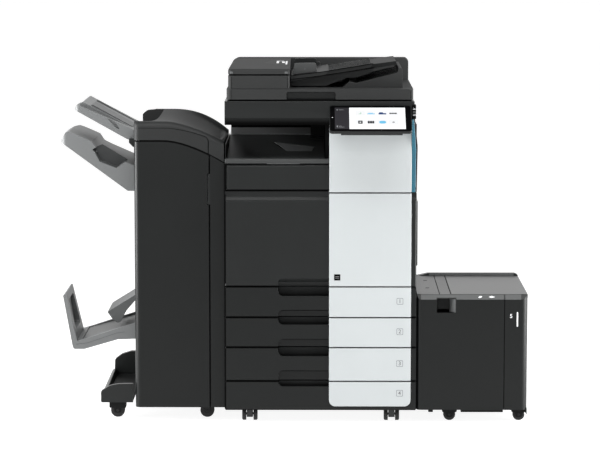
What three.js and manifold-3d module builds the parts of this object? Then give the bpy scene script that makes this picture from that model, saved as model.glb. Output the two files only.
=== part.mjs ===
// A floor-standing colour photocopier: main unit on a two-tray pedestal, document feeder on top,
// folding finisher on the left and large-capacity tray on the right.
// Millimetres, +Z up, the front faces -Y. Pieces are drawn with X = 0 at the middle of the main unit,
// Y = 0 at its front face and Z = 0 at the floor. The last lines move the origin to the bottom centre.
import * as THREE from "three";
import { mergeVertices } from "three/addons/utils/BufferGeometryUtils.js";
import Module from "manifold-3d";

const wasm = await Module();
wasm.setup();

// ---------- driving dimensions ----------

const GAP = 0.5; // between neighbouring fixed pieces
const SEAM = 1.5; // half of the seam between two front panels
const MAIN = { left: -309, right: 308, back: 560 };
const SKIN = 4; // thickness of the outer covers
const WALL = 6.5; // thickness of the sheet-metal frame's folded walls
const FRONT_THICK = 20; // thickness of doors
const FRAME_FRONT = 26; // where the frame starts, behind doors and drawer fronts

// heights of the seams of the main unit, from the floor
const LEVEL = {
  base: 43,
  tray4: 138.4,
  tray3: 249,
  tray2: 347.1,
  tray1: 447.3,
  whiteDoor: 752,
  door: 759,
  toner: 844.5,
  lip: 861,
  scanner: 969.6,
  feeder: 1046,
  feederEdge: 1085,
  feedBlock: 1131.7,
  feederTop: 1158,
};
const COLUMN = { left: 27, right: 291, proud: 3 }; // the white panels at the right of the front
const HANDLE = { left: -137.7, right: 27, depth: 16, radius: 16 };

const PANEL = { left: 27, right: 287, depth: 151, edge: 10, tilt: 28, backY: -10, backZ: 1033 };
const PANEL_PIVOT = { back: 20, below: 37, barrel: 8 };
const ARM = { left: 120, right: 195 };

const FEEDER = { left: -302.4, right: 295.6, ridgeY: 490 };
const FEED_BLOCK = { left: -297.5, right: -100.5, front: 2, back: 488 };
const DOC_TRAY = { front: 72, back: 432 };
const FEED_ROLLER = { x: -150, z: 1120, radius: 11, front: 66, back: 426 };

const GLASS = { left: -249.5, right: 209.5, front: 52.5, back: 507.5, bottom: 1041.2, top: 1045.6 };

const FIN = { left: -603, right: -311.5, front: 30, back: 531, bottom: 46, floor: 50, stripLeft: -357 };
const FIN_SEAM = { flatZ: 916, drop: 71.5 }; // under the finisher's top cover
const FIN_TOP = { flatZ: 978, drop: 66 };
const FIN_BEND = { from: -502, to: -311.5, power: 1.6, steps: 7 };
const FIN_TRAY = { front: 90, back: 430 };
const FIN_FOOT = { left: -716, front: 40, back: 540, bottom: 60, top: 100 };

const LCC = { left: 311.5, right: 669, back: 484, bottom: 44, bevelZ: 404.5, bevelY: 12, top: 421.7 };
const LCC_RIDGE = { front: 449, top: 429 };
const LCC_LID = { left: 422, front: 13.3, back: 448.4, thick: 12.2 };

const TONER = { radius: 33, pitch: 80, firstX: -255, z: 800, front: 32, back: 500 };

// casters: x and y of each wheel's middle
const MAIN_CASTER = { radius: 21, tread: 13, width: 50, xs: [-231, 231], ys: [57, 500] };
const FIN_CASTER = { radius: 23, width: 20, xs: [-666, -372], ys: [112, 470] };
const LCC_CASTER = { radius: 19.5, width: 18, xs: [420, 646], ys: [62, 420] };
const AXLE = 4;
const AXLE_BORE = 4.6;
const WHEEL_SIDES = 24;

// ---------- solids ----------

// A closed geometry as a solid that can be joined and cut.
function solidOf(geometry) {
  const bare = geometry.clone();
  bare.deleteAttribute("normal");
  bare.deleteAttribute("uv");
  const merged = mergeVertices(bare, 1e-4);
  const vertProperties = new Float32Array(merged.attributes.position.array);
  const triVerts = new Uint32Array(merged.index.array);
  return new wasm.Manifold(new wasm.Mesh({ numProp: 3, vertProperties, triVerts }));
}

function geometryOf(solid) {
  const mesh = solid.getMesh();
  const geometry = new THREE.BufferGeometry();
  geometry.setAttribute("position", new THREE.BufferAttribute(mesh.vertProperties, 3));
  geometry.setIndex(new THREE.BufferAttribute(mesh.triVerts, 1));
  geometry.computeVertexNormals();
  return geometry;
}

function join(first, ...others) {
  return others.reduce((whole, piece) => whole.add(piece), first);
}

function cut(first, ...others) {
  return others.reduce((whole, piece) => whole.subtract(piece), first);
}

function slab(x0, x1, y0, y1, z0, z1) {
  const box = new THREE.BoxGeometry(x1 - x0, y1 - y0, z1 - z0);
  return solidOf(box.translate((x0 + x1) / 2, (y0 + y1) / 2, (z0 + z1) / 2));
}

function polygon(points) {
  return new THREE.Shape(points.map(([u, v]) => new THREE.Vector2(u, v)));
}

// A rectangle with rounded corners: one radius for all, or [low u low v, high low, high high, low high].
function rounded(u0, u1, v0, v1, radius) {
  const [a, b, c, d] = Array.isArray(radius) ? radius : [radius, radius, radius, radius];
  const quarter = Math.PI / 2;
  const shape = new THREE.Shape();
  shape.moveTo(u0 + a, v0);
  shape.lineTo(u1 - b, v0);
  if (b) shape.absarc(u1 - b, v0 + b, b, -quarter, 0);
  shape.lineTo(u1, v1 - c);
  if (c) shape.absarc(u1 - c, v1 - c, c, 0, quarter);
  shape.lineTo(u0 + d, v1);
  if (d) shape.absarc(u0 + d, v1 - d, d, quarter, 2 * quarter);
  shape.lineTo(u0, v0 + a);
  if (a) shape.absarc(u0 + a, v0 + a, a, 2 * quarter, 3 * quarter);
  return shape;
}

function extruded(shape, depth) {
  return new THREE.ExtrudeGeometry(shape, { depth, bevelEnabled: false, curveSegments: 4 });
}

// An outline in (y, z), drawn out along X.
function alongX(shape, x0, x1) {
  const turn = new THREE.Matrix4().makeBasis(
    new THREE.Vector3(0, 1, 0),
    new THREE.Vector3(0, 0, 1),
    new THREE.Vector3(1, 0, 0),
  );
  return solidOf(extruded(shape, x1 - x0).applyMatrix4(turn).translate(x0, 0, 0));
}

// An outline in (x, z), drawn out along Y.
function alongY(shape, y0, y1) {
  return solidOf(extruded(shape, y1 - y0).rotateX(Math.PI / 2).translate(0, y1, 0));
}

// An outline in (x, y), drawn out along Z.
function alongZ(shape, z0, z1) {
  return solidOf(extruded(shape, z1 - z0).translate(0, 0, z0));
}

// A rod along X or Y, with a flat facing down.
function rod(axis, length, radius, sides, x, y, z) {
  const outer = radius / Math.cos(Math.PI / sides);
  const bar = new THREE.CylinderGeometry(outer, outer, length, sides, 1, false, Math.PI / sides);
  if (axis === "x") bar.rotateZ(Math.PI / 2);
  return solidOf(bar.translate(x, y, z));
}

// A turned piece about the Y axis from (radius, y) points, with a flat facing down.
function turned(profile, sides) {
  const stretch = 1 / Math.cos(Math.PI / sides);
  const points = profile.map(([radius, y]) => new THREE.Vector2(radius * stretch, y));
  return new THREE.LatheGeometry(points, sides, Math.PI / sides);
}

// ---------- finishes ----------

const finishes = {
  black: { color: "#2e3130", roughness: 0.5, metalness: 0 },
  white: { color: "#dde1e1", roughness: 0.45, metalness: 0 },
  grey: { color: "#8c8f8f", roughness: 0.55, metalness: 0 },
  steel: { color: "#a7aaab", roughness: 0.4, metalness: 0.8 },
  glass: { color: "#c3d2cf", roughness: 0.05, metalness: 0 },
  rubber: { color: "#1b1b1b", roughness: 0.8, metalness: 0 },
  yellow: { color: "#e3c21c", roughness: 0.5, metalness: 0 },
  magenta: { color: "#b81f5c", roughness: 0.5, metalness: 0 },
  cyan: { color: "#1784b5", roughness: 0.5, metalness: 0 },
  belt: { color: "#16181a", roughness: 0.25, metalness: 0 },
};

const machine = new THREE.Group();

function addMesh(name, geometry, finish) {
  const mesh = new THREE.Mesh(geometry, new THREE.MeshStandardMaterial(finishes[finish]));
  mesh.name = name;
  machine.add(mesh);
  return mesh;
}

function add(name, solid, finish) {
  return addMesh(name, geometryOf(solid), finish);
}

// ---------- casters ----------

// Twin wheel on one shaft, turning about X.
function twinWheel(name, x, y) {
  const { radius, tread, width } = MAIN_CASTER;
  const half = width / 2;
  const inner = half - tread;
  const profile = [
    [0, -half],
    [radius - 3, -half],
    [radius, 3 - half],
    [radius, -inner],
    [AXLE, -inner],
    [AXLE, inner],
    [radius, inner],
    [radius, half - 3],
    [radius - 3, half],
    [0, half],
  ];
  const wheel = addMesh(name, turned(profile, WHEEL_SIDES), "rubber");
  wheel.rotation.z = Math.PI / 2;
  wheel.position.set(x, y, radius);
}

// The block between a twin wheel's discs that holds its shaft.
function twinStem(x, y, top) {
  const { radius, tread, width } = MAIN_CASTER;
  const half = width / 2 - tread - 2;
  const block = slab(x - half, x + half, y - 15, y + 15, radius - 9, top);
  return cut(block, rod("x", width, AXLE_BORE, 12, x, y, radius));
}

// Single wheel with stub shafts, turning about Y.
function singleWheel(name, caster, x, y) {
  const { radius, width } = caster;
  const half = width / 2;
  const profile = [
    [0, -half - 5],
    [AXLE, -half - 5],
    [AXLE, -half],
    [radius - 2, -half],
    [radius, 2 - half],
    [radius, half - 2],
    [radius - 2, half],
    [AXLE, half],
    [AXLE, half + 5],
    [0, half + 5],
  ];
  const wheel = addMesh(name, turned(profile, WHEEL_SIDES), "rubber");
  wheel.position.set(x, y, radius);
}

// The two ears that hold a single wheel's stub shafts, up to a floor at height top.
function wheelEars(caster, x, y, top) {
  const { radius, width } = caster;
  const inner = width / 2 + 1;
  const outer = inner + 4;
  const reach = AXLE_BORE + 4;
  const front = slab(x - reach, x + reach, y - outer, y - inner, radius - reach, top);
  const back = slab(x - reach, x + reach, y + inner, y + outer, radius - reach, top);
  return cut(join(front, back), rod("y", 4 * outer, AXLE_BORE, 12, x, y, radius));
}

// ---------- drawers ----------

// Each drawer: its front between two seams, and the tub behind it between two shelves.
const DRAWERS = [
  { name: "tray_1", low: LEVEL.tray2, high: LEVEL.tray1, tub: [351.5, 441], pull: 416.2, dimple: 371.1 },
  { name: "tray_2", low: LEVEL.tray3, high: LEVEL.tray2, tub: [259, 341], pull: 323.1, dimple: 276.3 },
  { name: "tray_3", low: LEVEL.tray4, high: LEVEL.tray3, tub: [142.5, 236], pull: 219.6, dimple: 172.7 },
  { name: "tray_4", low: LEVEL.base - SEAM, high: LEVEL.tray4, tub: [56, 133], pull: 120.5, dimple: null },
];
const TUB = { left: -292, right: 292, back: 535, wall: 3, front: 24 };

// A finger recess in a front, rounded at the left, between heights low and high.
function fingerCut(low, high, roundLow) {
  const radius = Math.min(HANDLE.radius, high - low - 4);
  const corners = roundLow ? [radius, 0, 0, 0] : [0, 0, 0, radius];
  return alongY(rounded(HANDLE.left, HANDLE.right, low, high, corners), -5, HANDLE.depth);
}

function drawer({ name, low, high, tub, pull, dimple }) {
  const bottom = low + SEAM;
  const top = high - SEAM;
  const { left, right, back, wall, front } = TUB;
  const face = slab(MAIN.left, MAIN.right, 0, front, bottom, top);
  const outside = slab(left, right, front - 1, back, tub[0], tub[1]);
  const inside = slab(left + wall, right - wall, front, back - wall, tub[0] + wall, tub[1] + 1);
  let solid = cut(join(face, cut(outside, inside)), fingerCut(pull, high + 5, true));
  if (dimple) solid = cut(solid, fingerCut(low - 5, dimple, false));
  add(name, solid, "black");
  const last = name === "tray_4";
  const plate = last
    ? rounded(COLUMN.left, COLUMN.right, low + 14, top, [20, 20, 0, 0])
    : rounded(COLUMN.left, COLUMN.right, bottom, top, 0);
  add(name + "_white_panel", alongY(plate, -COLUMN.proud, -0.3), "white");
}

// ---------- main unit ----------

function pedestalFrame() {
  const left = MAIN.left + GAP;
  const right = MAIN.right - GAP;
  const back = MAIN.back - 4;
  const bottom = 45;
  const top = LEVEL.tray3 - SEAM;
  const floor = slab(left, right, FRAME_FRONT, back, bottom, 52);
  const walls = [
    slab(left, left + WALL, FRAME_FRONT, back, bottom, top),
    slab(right - WALL, right, FRAME_FRONT, back, bottom, top),
    slab(left, right, back - WALL, back, bottom, top),
    slab(left, right, FRAME_FRONT, back, 137, 140),
    slab(left, right, FRAME_FRONT, back, 240, top),
  ];
  const stems = MAIN_CASTER.xs.flatMap((x) => MAIN_CASTER.ys.map((y) => twinStem(x, y, bottom + 2)));
  add("pedestal_frame", join(floor, ...walls, ...stems), "black");
}

function engineFrame() {
  const left = MAIN.left + SKIN + GAP;
  const right = MAIN.right - SKIN + GAP;
  const back = MAIN.back - SKIN - GAP;
  const bottom = LEVEL.tray3 + 1;
  const cavity = 845;
  const top = LEVEL.scanner - 0.3;
  const parts = [
    slab(left, left + WALL, FRAME_FRONT, back, bottom, cavity),
    slab(right - WALL, right, FRAME_FRONT, back, bottom, top),
    slab(left, right, back - WALL, back, bottom, top),
    slab(left, right, FRAME_FRONT, back, 345.6, 348.4),
    slab(left, right, FRAME_FRONT, back, 446.5, 452),
    slab(left, right, FRAME_FRONT, back, 755, 760),
    slab(left, right, FRAME_FRONT, back, 840, cavity),
    slab(left, 20, 500, back, cavity - 2, top),
    slab(20, COLUMN.left, 32, back, cavity - 2, top),
    slab(-28, 22, 330, 502, 904, 945),
    slab(20, right, 45, back, 962, top),
  ];
  const floor = slab(left, right, FRAME_FRONT, back, bottom, 256);
  const sideOpening = slab(right - 2 * WALL, right + 1, 60, 500, 480, 730);
  add("engine_frame", cut(join(floor, ...parts), sideOpening), "steel");
}

const RIGHT_DOOR = { front: 38, back: 532, bottom: 454.5, top: 745.5 };

function covers() {
  const low = LEVEL.tray3 + 1;
  const high = LEVEL.scanner - 0.6;
  add("left_cover", slab(MAIN.left, MAIN.left + SKIN, FRAME_FRONT, MAIN.back, low, 845.5), "black");
  const inset = SKIN + GAP;
  const rear = slab(MAIN.left + inset, MAIN.right - inset, MAIN.back - SKIN, MAIN.back, low, high);
  add("rear_cover", rear, "black");
  const side = slab(MAIN.right - SKIN + 1, MAIN.right, FRAME_FRONT, MAIN.back, low, high);
  const { front, back, bottom, top } = RIGHT_DOOR;
  const doorway = slab(MAIN.right - 20, MAIN.right + 5, front - 1.5, back + 1.5, bottom - 3, top + 1.5);
  add("right_cover", cut(side, doorway), "black");
  const door = slab(MAIN.right - SKIN + 1.3, MAIN.right + 1.5, front, back, bottom, top);
  const lip = slab(MAIN.right, MAIN.right + 3, 110, 410, 480, 496);
  add("right_door", join(door, lip), "black");
  add("bypass_tray", slab(MAIN.right + 2, MAIN.right + 8, 120, 400, 500, 712), "black");
}

// Black door with its white panel; the right part of its top is lower.
function frontDoor() {
  const bottom = LEVEL.tray1 + SEAM;
  const high = LEVEL.door - SEAM;
  const low = LEVEL.whiteDoor - SEAM;
  const shape = polygon([
    [MAIN.left, bottom],
    [MAIN.right, bottom],
    [MAIN.right, low],
    [COLUMN.left - 1, low],
    [COLUMN.left - 1, high],
    [MAIN.left, high],
  ]);
  const plate = alongY(shape, 0, FRONT_THICK);
  const hollow = slab(MAIN.left + 8, MAIN.right - 8, 8, FRONT_THICK + 1, bottom + 40, low - 10);
  const door = cut(plate, hollow, fingerCut(bottom - 5, 474.2, false));
  add("front_door", door, "black");
  const white = rounded(COLUMN.left, COLUMN.right, bottom, low, 0);
  add("front_door_white_panel", alongY(white, -COLUMN.proud, -0.3), "white");
}

function tonerDoor() {
  const bottom = LEVEL.door + SEAM;
  const top = LEVEL.toner - SEAM;
  const plate = slab(MAIN.left, COLUMN.left - 1, 0, FRONT_THICK, bottom, top);
  const hollow = slab(MAIN.left + 8, COLUMN.left - 9, 8, FRONT_THICK + 1, bottom + 10, top - 10);
  add("toner_door", cut(plate, hollow), "black");
}

// White cover beside the output opening; its upper part leans back under the scanner.
function upperWhiteCover() {
  const bottom = LEVEL.whiteDoor + SEAM;
  const bend = 880;
  const top = LEVEL.scanner - 6;
  const lean = 14;
  const thick = 12;
  const side = [
    [0, bottom],
    [0, bend],
    [lean, top],
    [lean + thick, top],
    [thick, bend],
    [thick, bottom],
  ];
  const plate = alongX(polygon(side), COLUMN.left + 0.5, MAIN.right);
  const cheek = slab(COLUMN.left + 0.5, COLUMN.left + 5, 6, 31, LEVEL.lip, bend);
  add("upper_white_cover", join(plate, cheek), "white");
}

// The paper rests here after printing: a sloping floor with a finger recess at the front right.
function outputTray() {
  const left = MAIN.left + GAP;
  const right = COLUMN.left - 7.5;
  const back = 499.5;
  const low = 846.3;
  const slope = [
    [0, low],
    [0, 858],
    [4, LEVEL.lip],
    [24, LEVEL.lip + 1],
    [back, 900],
    [back, low],
  ];
  const floor = alongX(polygon(slope), left, right);
  const lip = slab(right - 1, COLUMN.left, 0, 28, low, LEVEL.lip);
  const recess = slab(-165, -15, 26, 150, 853, 930);
  add("output_tray", cut(join(floor, lip), recess), "black");
}

function tonerCartridges() {
  const { radius, pitch, firstX, z, front, back } = TONER;
  ["yellow", "magenta", "cyan", "black"].forEach((colour, i) => {
    const x = firstX + i * pitch;
    const bottle = rod("y", back - front - 20, radius, 16, x, (front + 20 + back) / 2, z);
    const cap = rod("y", 25, radius - 8, 12, x, front + 12.5, z);
    add("toner_" + colour, join(bottle, cap), colour);
  });
}

function imagingParts() {
  const belt = cut(
    alongY(rounded(-270, 150, 640, 690, 25), 60, 520),
    alongY(rounded(-262, 142, 648, 682, 17), 50, 530),
  );
  const rail = slab(-262, 142, 60, 80, 655, 675);
  add("transfer_belt_unit", join(belt, rail), "belt");
  const fuser = alongY(rounded(190, 285, 650, 735, 12), 60, 480);
  add("fuser_unit", cut(fuser, slab(225, 245, 50, 490, 700, 740)), "black");
  add("waste_toner_box", alongY(rounded(-280, 170, 470, 560, 10), 30, 55), "grey");
}

// ---------- scanner and operation panel ----------

// Where the panel's tilt barrel is, from the panel's own corner and tilt.
function panelPivot() {
  const tilt = THREE.MathUtils.degToRad(PANEL.tilt);
  const { back, below } = PANEL_PIVOT;
  return {
    y: PANEL.backY - back * Math.cos(tilt) + below * Math.sin(tilt),
    z: PANEL.backZ - back * Math.sin(tilt) - below * Math.cos(tilt),
  };
}

function scanner() {
  const bottom = LEVEL.scanner;
  const top = LEVEL.feeder;
  const side = [
    [8, bottom],
    [MAIN.back, bottom],
    [MAIN.back, top],
    [0, top],
    [0, 993.4],
  ];
  const body = alongX(polygon(side), MAIN.left, 300);
  const inside = slab(-300, 292, 16, 552, bottom + 7, top - 10);
  const hole = slab(-240, 200, 62, 498, top - 20, top + 5);
  const { left, right, front, back, bottom: low } = GLASS;
  const seat = slab(left - GAP, right + GAP, front - GAP, back + GAP, low - 0.4, top + 5);
  const pivot = panelPivot();
  const { barrel } = PANEL_PIVOT;
  const arm = slab(ARM.left, ARM.right, pivot.y, 9, pivot.z - barrel, pivot.z + barrel);
  const middle = (ARM.left + ARM.right) / 2;
  const hub = rod("x", ARM.right - ARM.left, barrel, 16, middle, pivot.y, pivot.z);
  add("scanner_body", join(cut(body, inside, hole, seat), arm, hub), "black");
  add("platen_glass", slab(left, right, front, back, low, GLASS.top), "glass");
  const carriage = slab(-235, -195, 40, 520, 1004, 1033);
  const slit = slab(-222, -208, 60, 500, 1025, 1040);
  add("scan_carriage", cut(carriage, slit), "steel");
}

// Built flat, with its back upper edge on Y = 0, Z = 0, then tilted.
function operationPanel() {
  const { left, right, depth, edge, tilt, backY, backZ } = PANEL;
  const { back, below, barrel } = PANEL_PIVOT;
  const plate = alongZ(rounded(left, right, -depth, 0, 8), -edge, 0);
  const under = [
    [-depth + 7, -edge + 1],
    [-depth + 10, -22],
    [-60, -27],
    [-16, -27],
    [-12, -edge + 1],
  ];
  const underside = alongX(polygon(under), 63, 258);
  const ears = [ARM.left - 13, ARM.right + GAP].map((x) => {
    const web = slab(x, x + 12.5, -back - barrel, -back + barrel, -below, -20);
    return join(web, rod("x", 12.5, barrel, 16, x + 6.25, -back, -below));
  });
  const mesh = add("panel_housing", join(plate, underside, ...ears), "black");
  mesh.rotation.x = THREE.MathUtils.degToRad(tilt);
  mesh.position.set(0, backY, backZ);
}

// ---------- document feeder ----------

// Slope of the document tray: its outline in (x, z).
const DOC_OUTLINE = [
  [-97, 1089.5],
  [13, 1089.5],
  [82, 1116],
  [113, 1117],
  [160, 1133],
  [246, 1156],
  [242, 1170],
  [20, 1139],
  [-97, 1124],
];
const EXIT_WEDGE = [
  [69, 1084],
  [93, 1104],
  [112, 1100],
  [250, 1136],
  [254, 1150],
  [262, 1146],
  [265, 1084],
];

function documentFeeder() {
  const bottom = LEVEL.feeder + 1;
  const { left, right, ridgeY } = FEEDER;
  const block = FEED_BLOCK;
  const deck = alongZ(rounded(left, right, 0, MAIN.back, [12, 12, 0, 0]), bottom, LEVEL.feederEdge);
  const feedHousing = alongZ(
    rounded(block.left, block.right, block.front, ridgeY + 1, [14, 14, 0, 0]),
    LEVEL.feederEdge - 1,
    LEVEL.feedBlock,
  );
  const ridge = alongY(
    rounded(block.left, right, LEVEL.feederEdge - 1, LEVEL.feederTop, [0, 0, 14, 14]),
    ridgeY,
    MAIN.back,
  );
  const wedge = alongY(polygon(EXIT_WEDGE), 62, 430);
  const grip = alongY(rounded(-110, 47, bottom + 3, 1076, 6), -5, 16);
  const roller = FEED_ROLLER;
  const channel = slab(roller.x - 14, roller.x + 14, 62, 430, 1106, 1140);
  add("adf_base", cut(join(deck, feedHousing, ridge, wedge), grip, channel), "black");

  const low = LEVEL.feedBlock + 0.8;
  const crown = [
    [block.front, low],
    [block.front, 1143],
    [block.front + 8, 1147.5],
    [210, 1153],
    [430, 1156.5],
    [block.back, 1157],
    [block.back, low],
  ];
  const cover = alongX(polygon(crown), block.left, block.right);
  const hollow = slab(block.left + 4, block.right - 4, block.front + 5, block.back - 4, low - 5, 1143);
  add("adf_feed_cover", cut(cover, hollow), "black");

  add("adf_document_tray", alongY(polygon(DOC_OUTLINE), DOC_TRAY.front, DOC_TRAY.back), "black");
  const guide = polygon([
    [-92, 1126],
    [-12, 1136.2],
    [-17, 1163],
    [-85, 1162],
  ]);
  add("adf_front_guide", alongY(guide, 104, 114), "grey");
  add("adf_rear_guide", alongY(guide, 396, 406), "grey");
  const length = roller.back - roller.front;
  const middle = (roller.front + roller.back) / 2;
  add("adf_feed_roller", rod("y", length, roller.radius, 16, roller.x, middle, roller.z), "rubber");
}

// ---------- finisher ----------

// Points of a line that is level at the left and bends down to the right, moved by lift.
function bentLine({ flatZ, drop }, fromX, toX, lift) {
  const { from, to, power, steps } = FIN_BEND;
  const height = (x) => flatZ - drop * Math.max(0, (x - from) / (to - from)) ** power + lift;
  const points = [[fromX, height(fromX)]];
  for (let i = 0; i < steps; i++) {
    const x = from + ((to - from) * i) / steps;
    if (x > fromX && x < toX) points.push([x, height(x)]);
  }
  points.push([toX, height(toX)]);
  return points;
}

function finisherCase() {
  const { left, right, front, back, bottom, floor, stripLeft } = FIN;
  const top = bentLine(FIN_SEAM, left, right, -1);
  const outer = alongY(polygon([[left, floor], ...top, [right, floor]]), front + 22.5, back);
  const lid = bentLine(FIN_SEAM, left + 6, right - 6, -9);
  const inner = alongY(polygon([[left + 6, floor + 8], ...lid, [right - 6, floor + 8]]), front, back - 6);
  const stripTop = bentLine(FIN_SEAM, stripLeft, right, -1);
  const strip = alongY(polygon([[stripLeft, bottom], ...stripTop, [right, bottom]]), front, front + 25);
  const shelf = slab(left + 3, right - 3, front + 35, back - 3, 470, 476);
  const stapler = slab(-560, -420, 130, 330, 475, 560);
  const exitSlot = slab(left - 5, left + 10, 110, 410, 852, 878);
  const bookletSlot = slab(left - 5, left + 10, 130, 360, 330, 352);
  const ears = FIN_CASTER.ys.map((y) => wheelEars(FIN_CASTER, FIN_CASTER.xs[1], y, floor + 1));
  const shell = cut(outer, inner, exitSlot, bookletSlot);
  add("finisher_case", join(shell, strip, shelf, stapler, ...ears), "black");
}

function finisherDoorAndTop() {
  const { left, right, front, back, bottom, stripLeft } = FIN;
  const edge = stripLeft - 2.5;
  const doorTop = bentLine(FIN_SEAM, left, edge, -SEAM);
  const door = alongY(polygon([[left, bottom], ...doorTop, [edge, bottom]]), front, front + 21.5);
  const pull = slab(edge - 7, edge + 5, front - 5, front + 30, 708, 811);
  const hollow = slab(left + 12, edge - 20, front + 8, front + 30, bottom + 15, 850);
  add("finisher_front_door", cut(door, pull, hollow), "black");

  const under = bentLine(FIN_SEAM, left, right, SEAM - 1);
  const over = bentLine(FIN_TOP, left, right, 0).reverse();
  const slabOver = alongY(polygon([...under, ...over]), front, back);
  const dishFloor = bentLine(FIN_TOP, left + 12, right + 5, -12);
  const dishRoof = bentLine(FIN_TOP, left + 12, right + 5, 20).reverse();
  const dish = alongY(polygon([...dishFloor, ...dishRoof]), front + 34, back - 45);
  add("finisher_top_cover", cut(slabOver, dish), "black");
}

function finisherTrays() {
  const { front, back } = FIN_TRAY;
  const root = FIN.left - 0.8;
  const upper = [
    [root, 946],
    [-792, 1029],
    [-798, 1024],
    [-798.5, 1011],
    [-627, 916],
    [root, 912],
  ];
  add("finisher_upper_tray", alongY(polygon(upper), front, back), "grey");
  const lower = [
    [root, 830],
    [-818, 941],
    [-828, 938],
    [-845, 908],
    [-627, 748],
    [root, 748],
  ];
  const reach = slab(-780, -690, front - 5, front + 60, 700, 1000);
  add("finisher_lower_tray", cut(alongY(polygon(lower), front, back), reach), "grey");

  const bed = [
    [root, 300],
    [root, 262],
    [-664, 260],
    [-773, 228],
    [-809, 228],
    [-814, 252],
    [-770, 254],
    [-665, 285],
  ];
  const stop = [
    [-812, 240],
    [-841, 405],
    [-834, 411],
    [-796, 250],
  ];
  const window = slab(-850, -780, 130, 260, 295, 380);
  const upright = cut(alongY(polygon(stop), front, 300), window);
  add("booklet_tray", join(alongY(polygon(bed), front, 380), upright), "grey");
  const flap = [
    [-607, 401],
    [-700, 343],
    [-703, 349],
    [-610, 407],
  ];
  add("booklet_flap", alongY(polygon(flap), 140, 350), "grey");
}

function finisherFoot() {
  const { left, front, back, bottom, top } = FIN_FOOT;
  const right = FIN.left - 0.8;
  const platform = slab(left + 8, right, front + 10, back - 10, bottom, top);
  const rim = polygon([
    [left, bottom],
    [left, 98],
    [left + 7, 104],
    [left + 26, 114],
    [left + 48, 120],
    [right, 122],
    [right, bottom],
  ]);
  const doorRoom = slab(right - 8, right + 5, front - 5, 70, bottom - 20, 150);
  const ears = FIN_CASTER.ys.map((y) => wheelEars(FIN_CASTER, FIN_CASTER.xs[0], y, bottom + 1));
  const rims = [alongY(rim, front, front + 14), alongY(rim, back - 14, back)];
  add("finisher_foot", join(cut(join(platform, ...rims), doorRoom), ...ears), "black");
}

// ---------- large-capacity tray ----------

function largeCapacityTray() {
  const { left, right, back, bottom, bevelZ, bevelY, top } = LCC;
  const ridge = LCC_RIDGE;
  const side = polygon([
    [0, bottom],
    [0, bevelZ],
    [bevelY, top],
    [ridge.front, top],
    [ridge.front + 2, ridge.top],
    [back, ridge.top],
    [back, bottom],
  ]);
  const plan = alongZ(rounded(left, right, 0, back, [3, 16, 6, 3]), bottom, ridge.top + 1);
  const body = alongX(side, left, right).intersect(plan);
  const inside = slab(left + 18, right - 14, 22, back - 14, bottom + 12, 396);
  const lid = LCC_LID;
  const seat = slab(lid.left - GAP, right + 5, lid.front - GAP, lid.back + GAP, top - lid.thick - GAP, top + 20);
  const mouth = slab(lid.left + 10, right - 14, 30, lid.back - 12, 380, top + 5);
  const latch = alongY(rounded(375, 436, 362, 410, 5), -5, 24);
  const xs = LCC_CASTER.xs;
  const ears = xs.flatMap((x) => LCC_CASTER.ys.map((y) => wheelEars(LCC_CASTER, x, y, bottom + 2)));
  add("lcc_case", join(cut(body, inside, seat, mouth, latch), ...ears), "black");
  add("lcc_lid", slab(lid.left, right, lid.front, lid.back, top - lid.thick, top), "black");
  const plate = slab(left + 24, right - 20, 30, back - 22, 70, 76);
  add("lcc_lift_plate", cut(plate, slab(460, 520, 20, 110, 60, 90)), "steel");
}

// ---------- assembly ----------

const SIDE_NAMES = ["left", "right"];
const DEPTH_NAMES = ["front", "rear"];

function wheels(prefix, caster, make) {
  caster.xs.forEach((x, i) => {
    caster.ys.forEach((y, j) => make(`${prefix}_wheel_${DEPTH_NAMES[j]}_${SIDE_NAMES[i]}`, x, y));
  });
}

pedestalFrame();
engineFrame();
covers();
outputTray();
upperWhiteCover();
tonerDoor();
frontDoor();
DRAWERS.forEach(drawer);
tonerCartridges();
imagingParts();
scanner();
operationPanel();
documentFeeder();
finisherCase();
finisherDoorAndTop();
finisherTrays();
finisherFoot();
largeCapacityTray();
wheels("pedestal", MAIN_CASTER, twinWheel);
wheels("finisher", FIN_CASTER, (name, x, y) => singleWheel(name, FIN_CASTER, x, y));
wheels("lcc", LCC_CASTER, (name, x, y) => singleWheel(name, LCC_CASTER, x, y));

// The origin of the part is the bottom centre of the whole machine.
machine.updateMatrixWorld(true);
const extent = new THREE.Box3().setFromObject(machine, true);
const middle = extent.getCenter(new THREE.Vector3());
machine.position.set(-middle.x, -middle.y, -extent.min.z);

const group = new THREE.Group();
group.add(machine);

export default group;
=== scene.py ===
# Looks of a floor-standing colour photocopier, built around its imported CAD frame.
# Shapes are drawn in millimetres with X = 0 at the middle of the main unit, Y = 0 at its front face and
# Z = 0 at the floor, then moved into the frame, which is in metres. The front faces -Y.
import math
from collections import namedtuple

import bmesh
import bpy
from mathutils import Matrix, Vector


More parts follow.
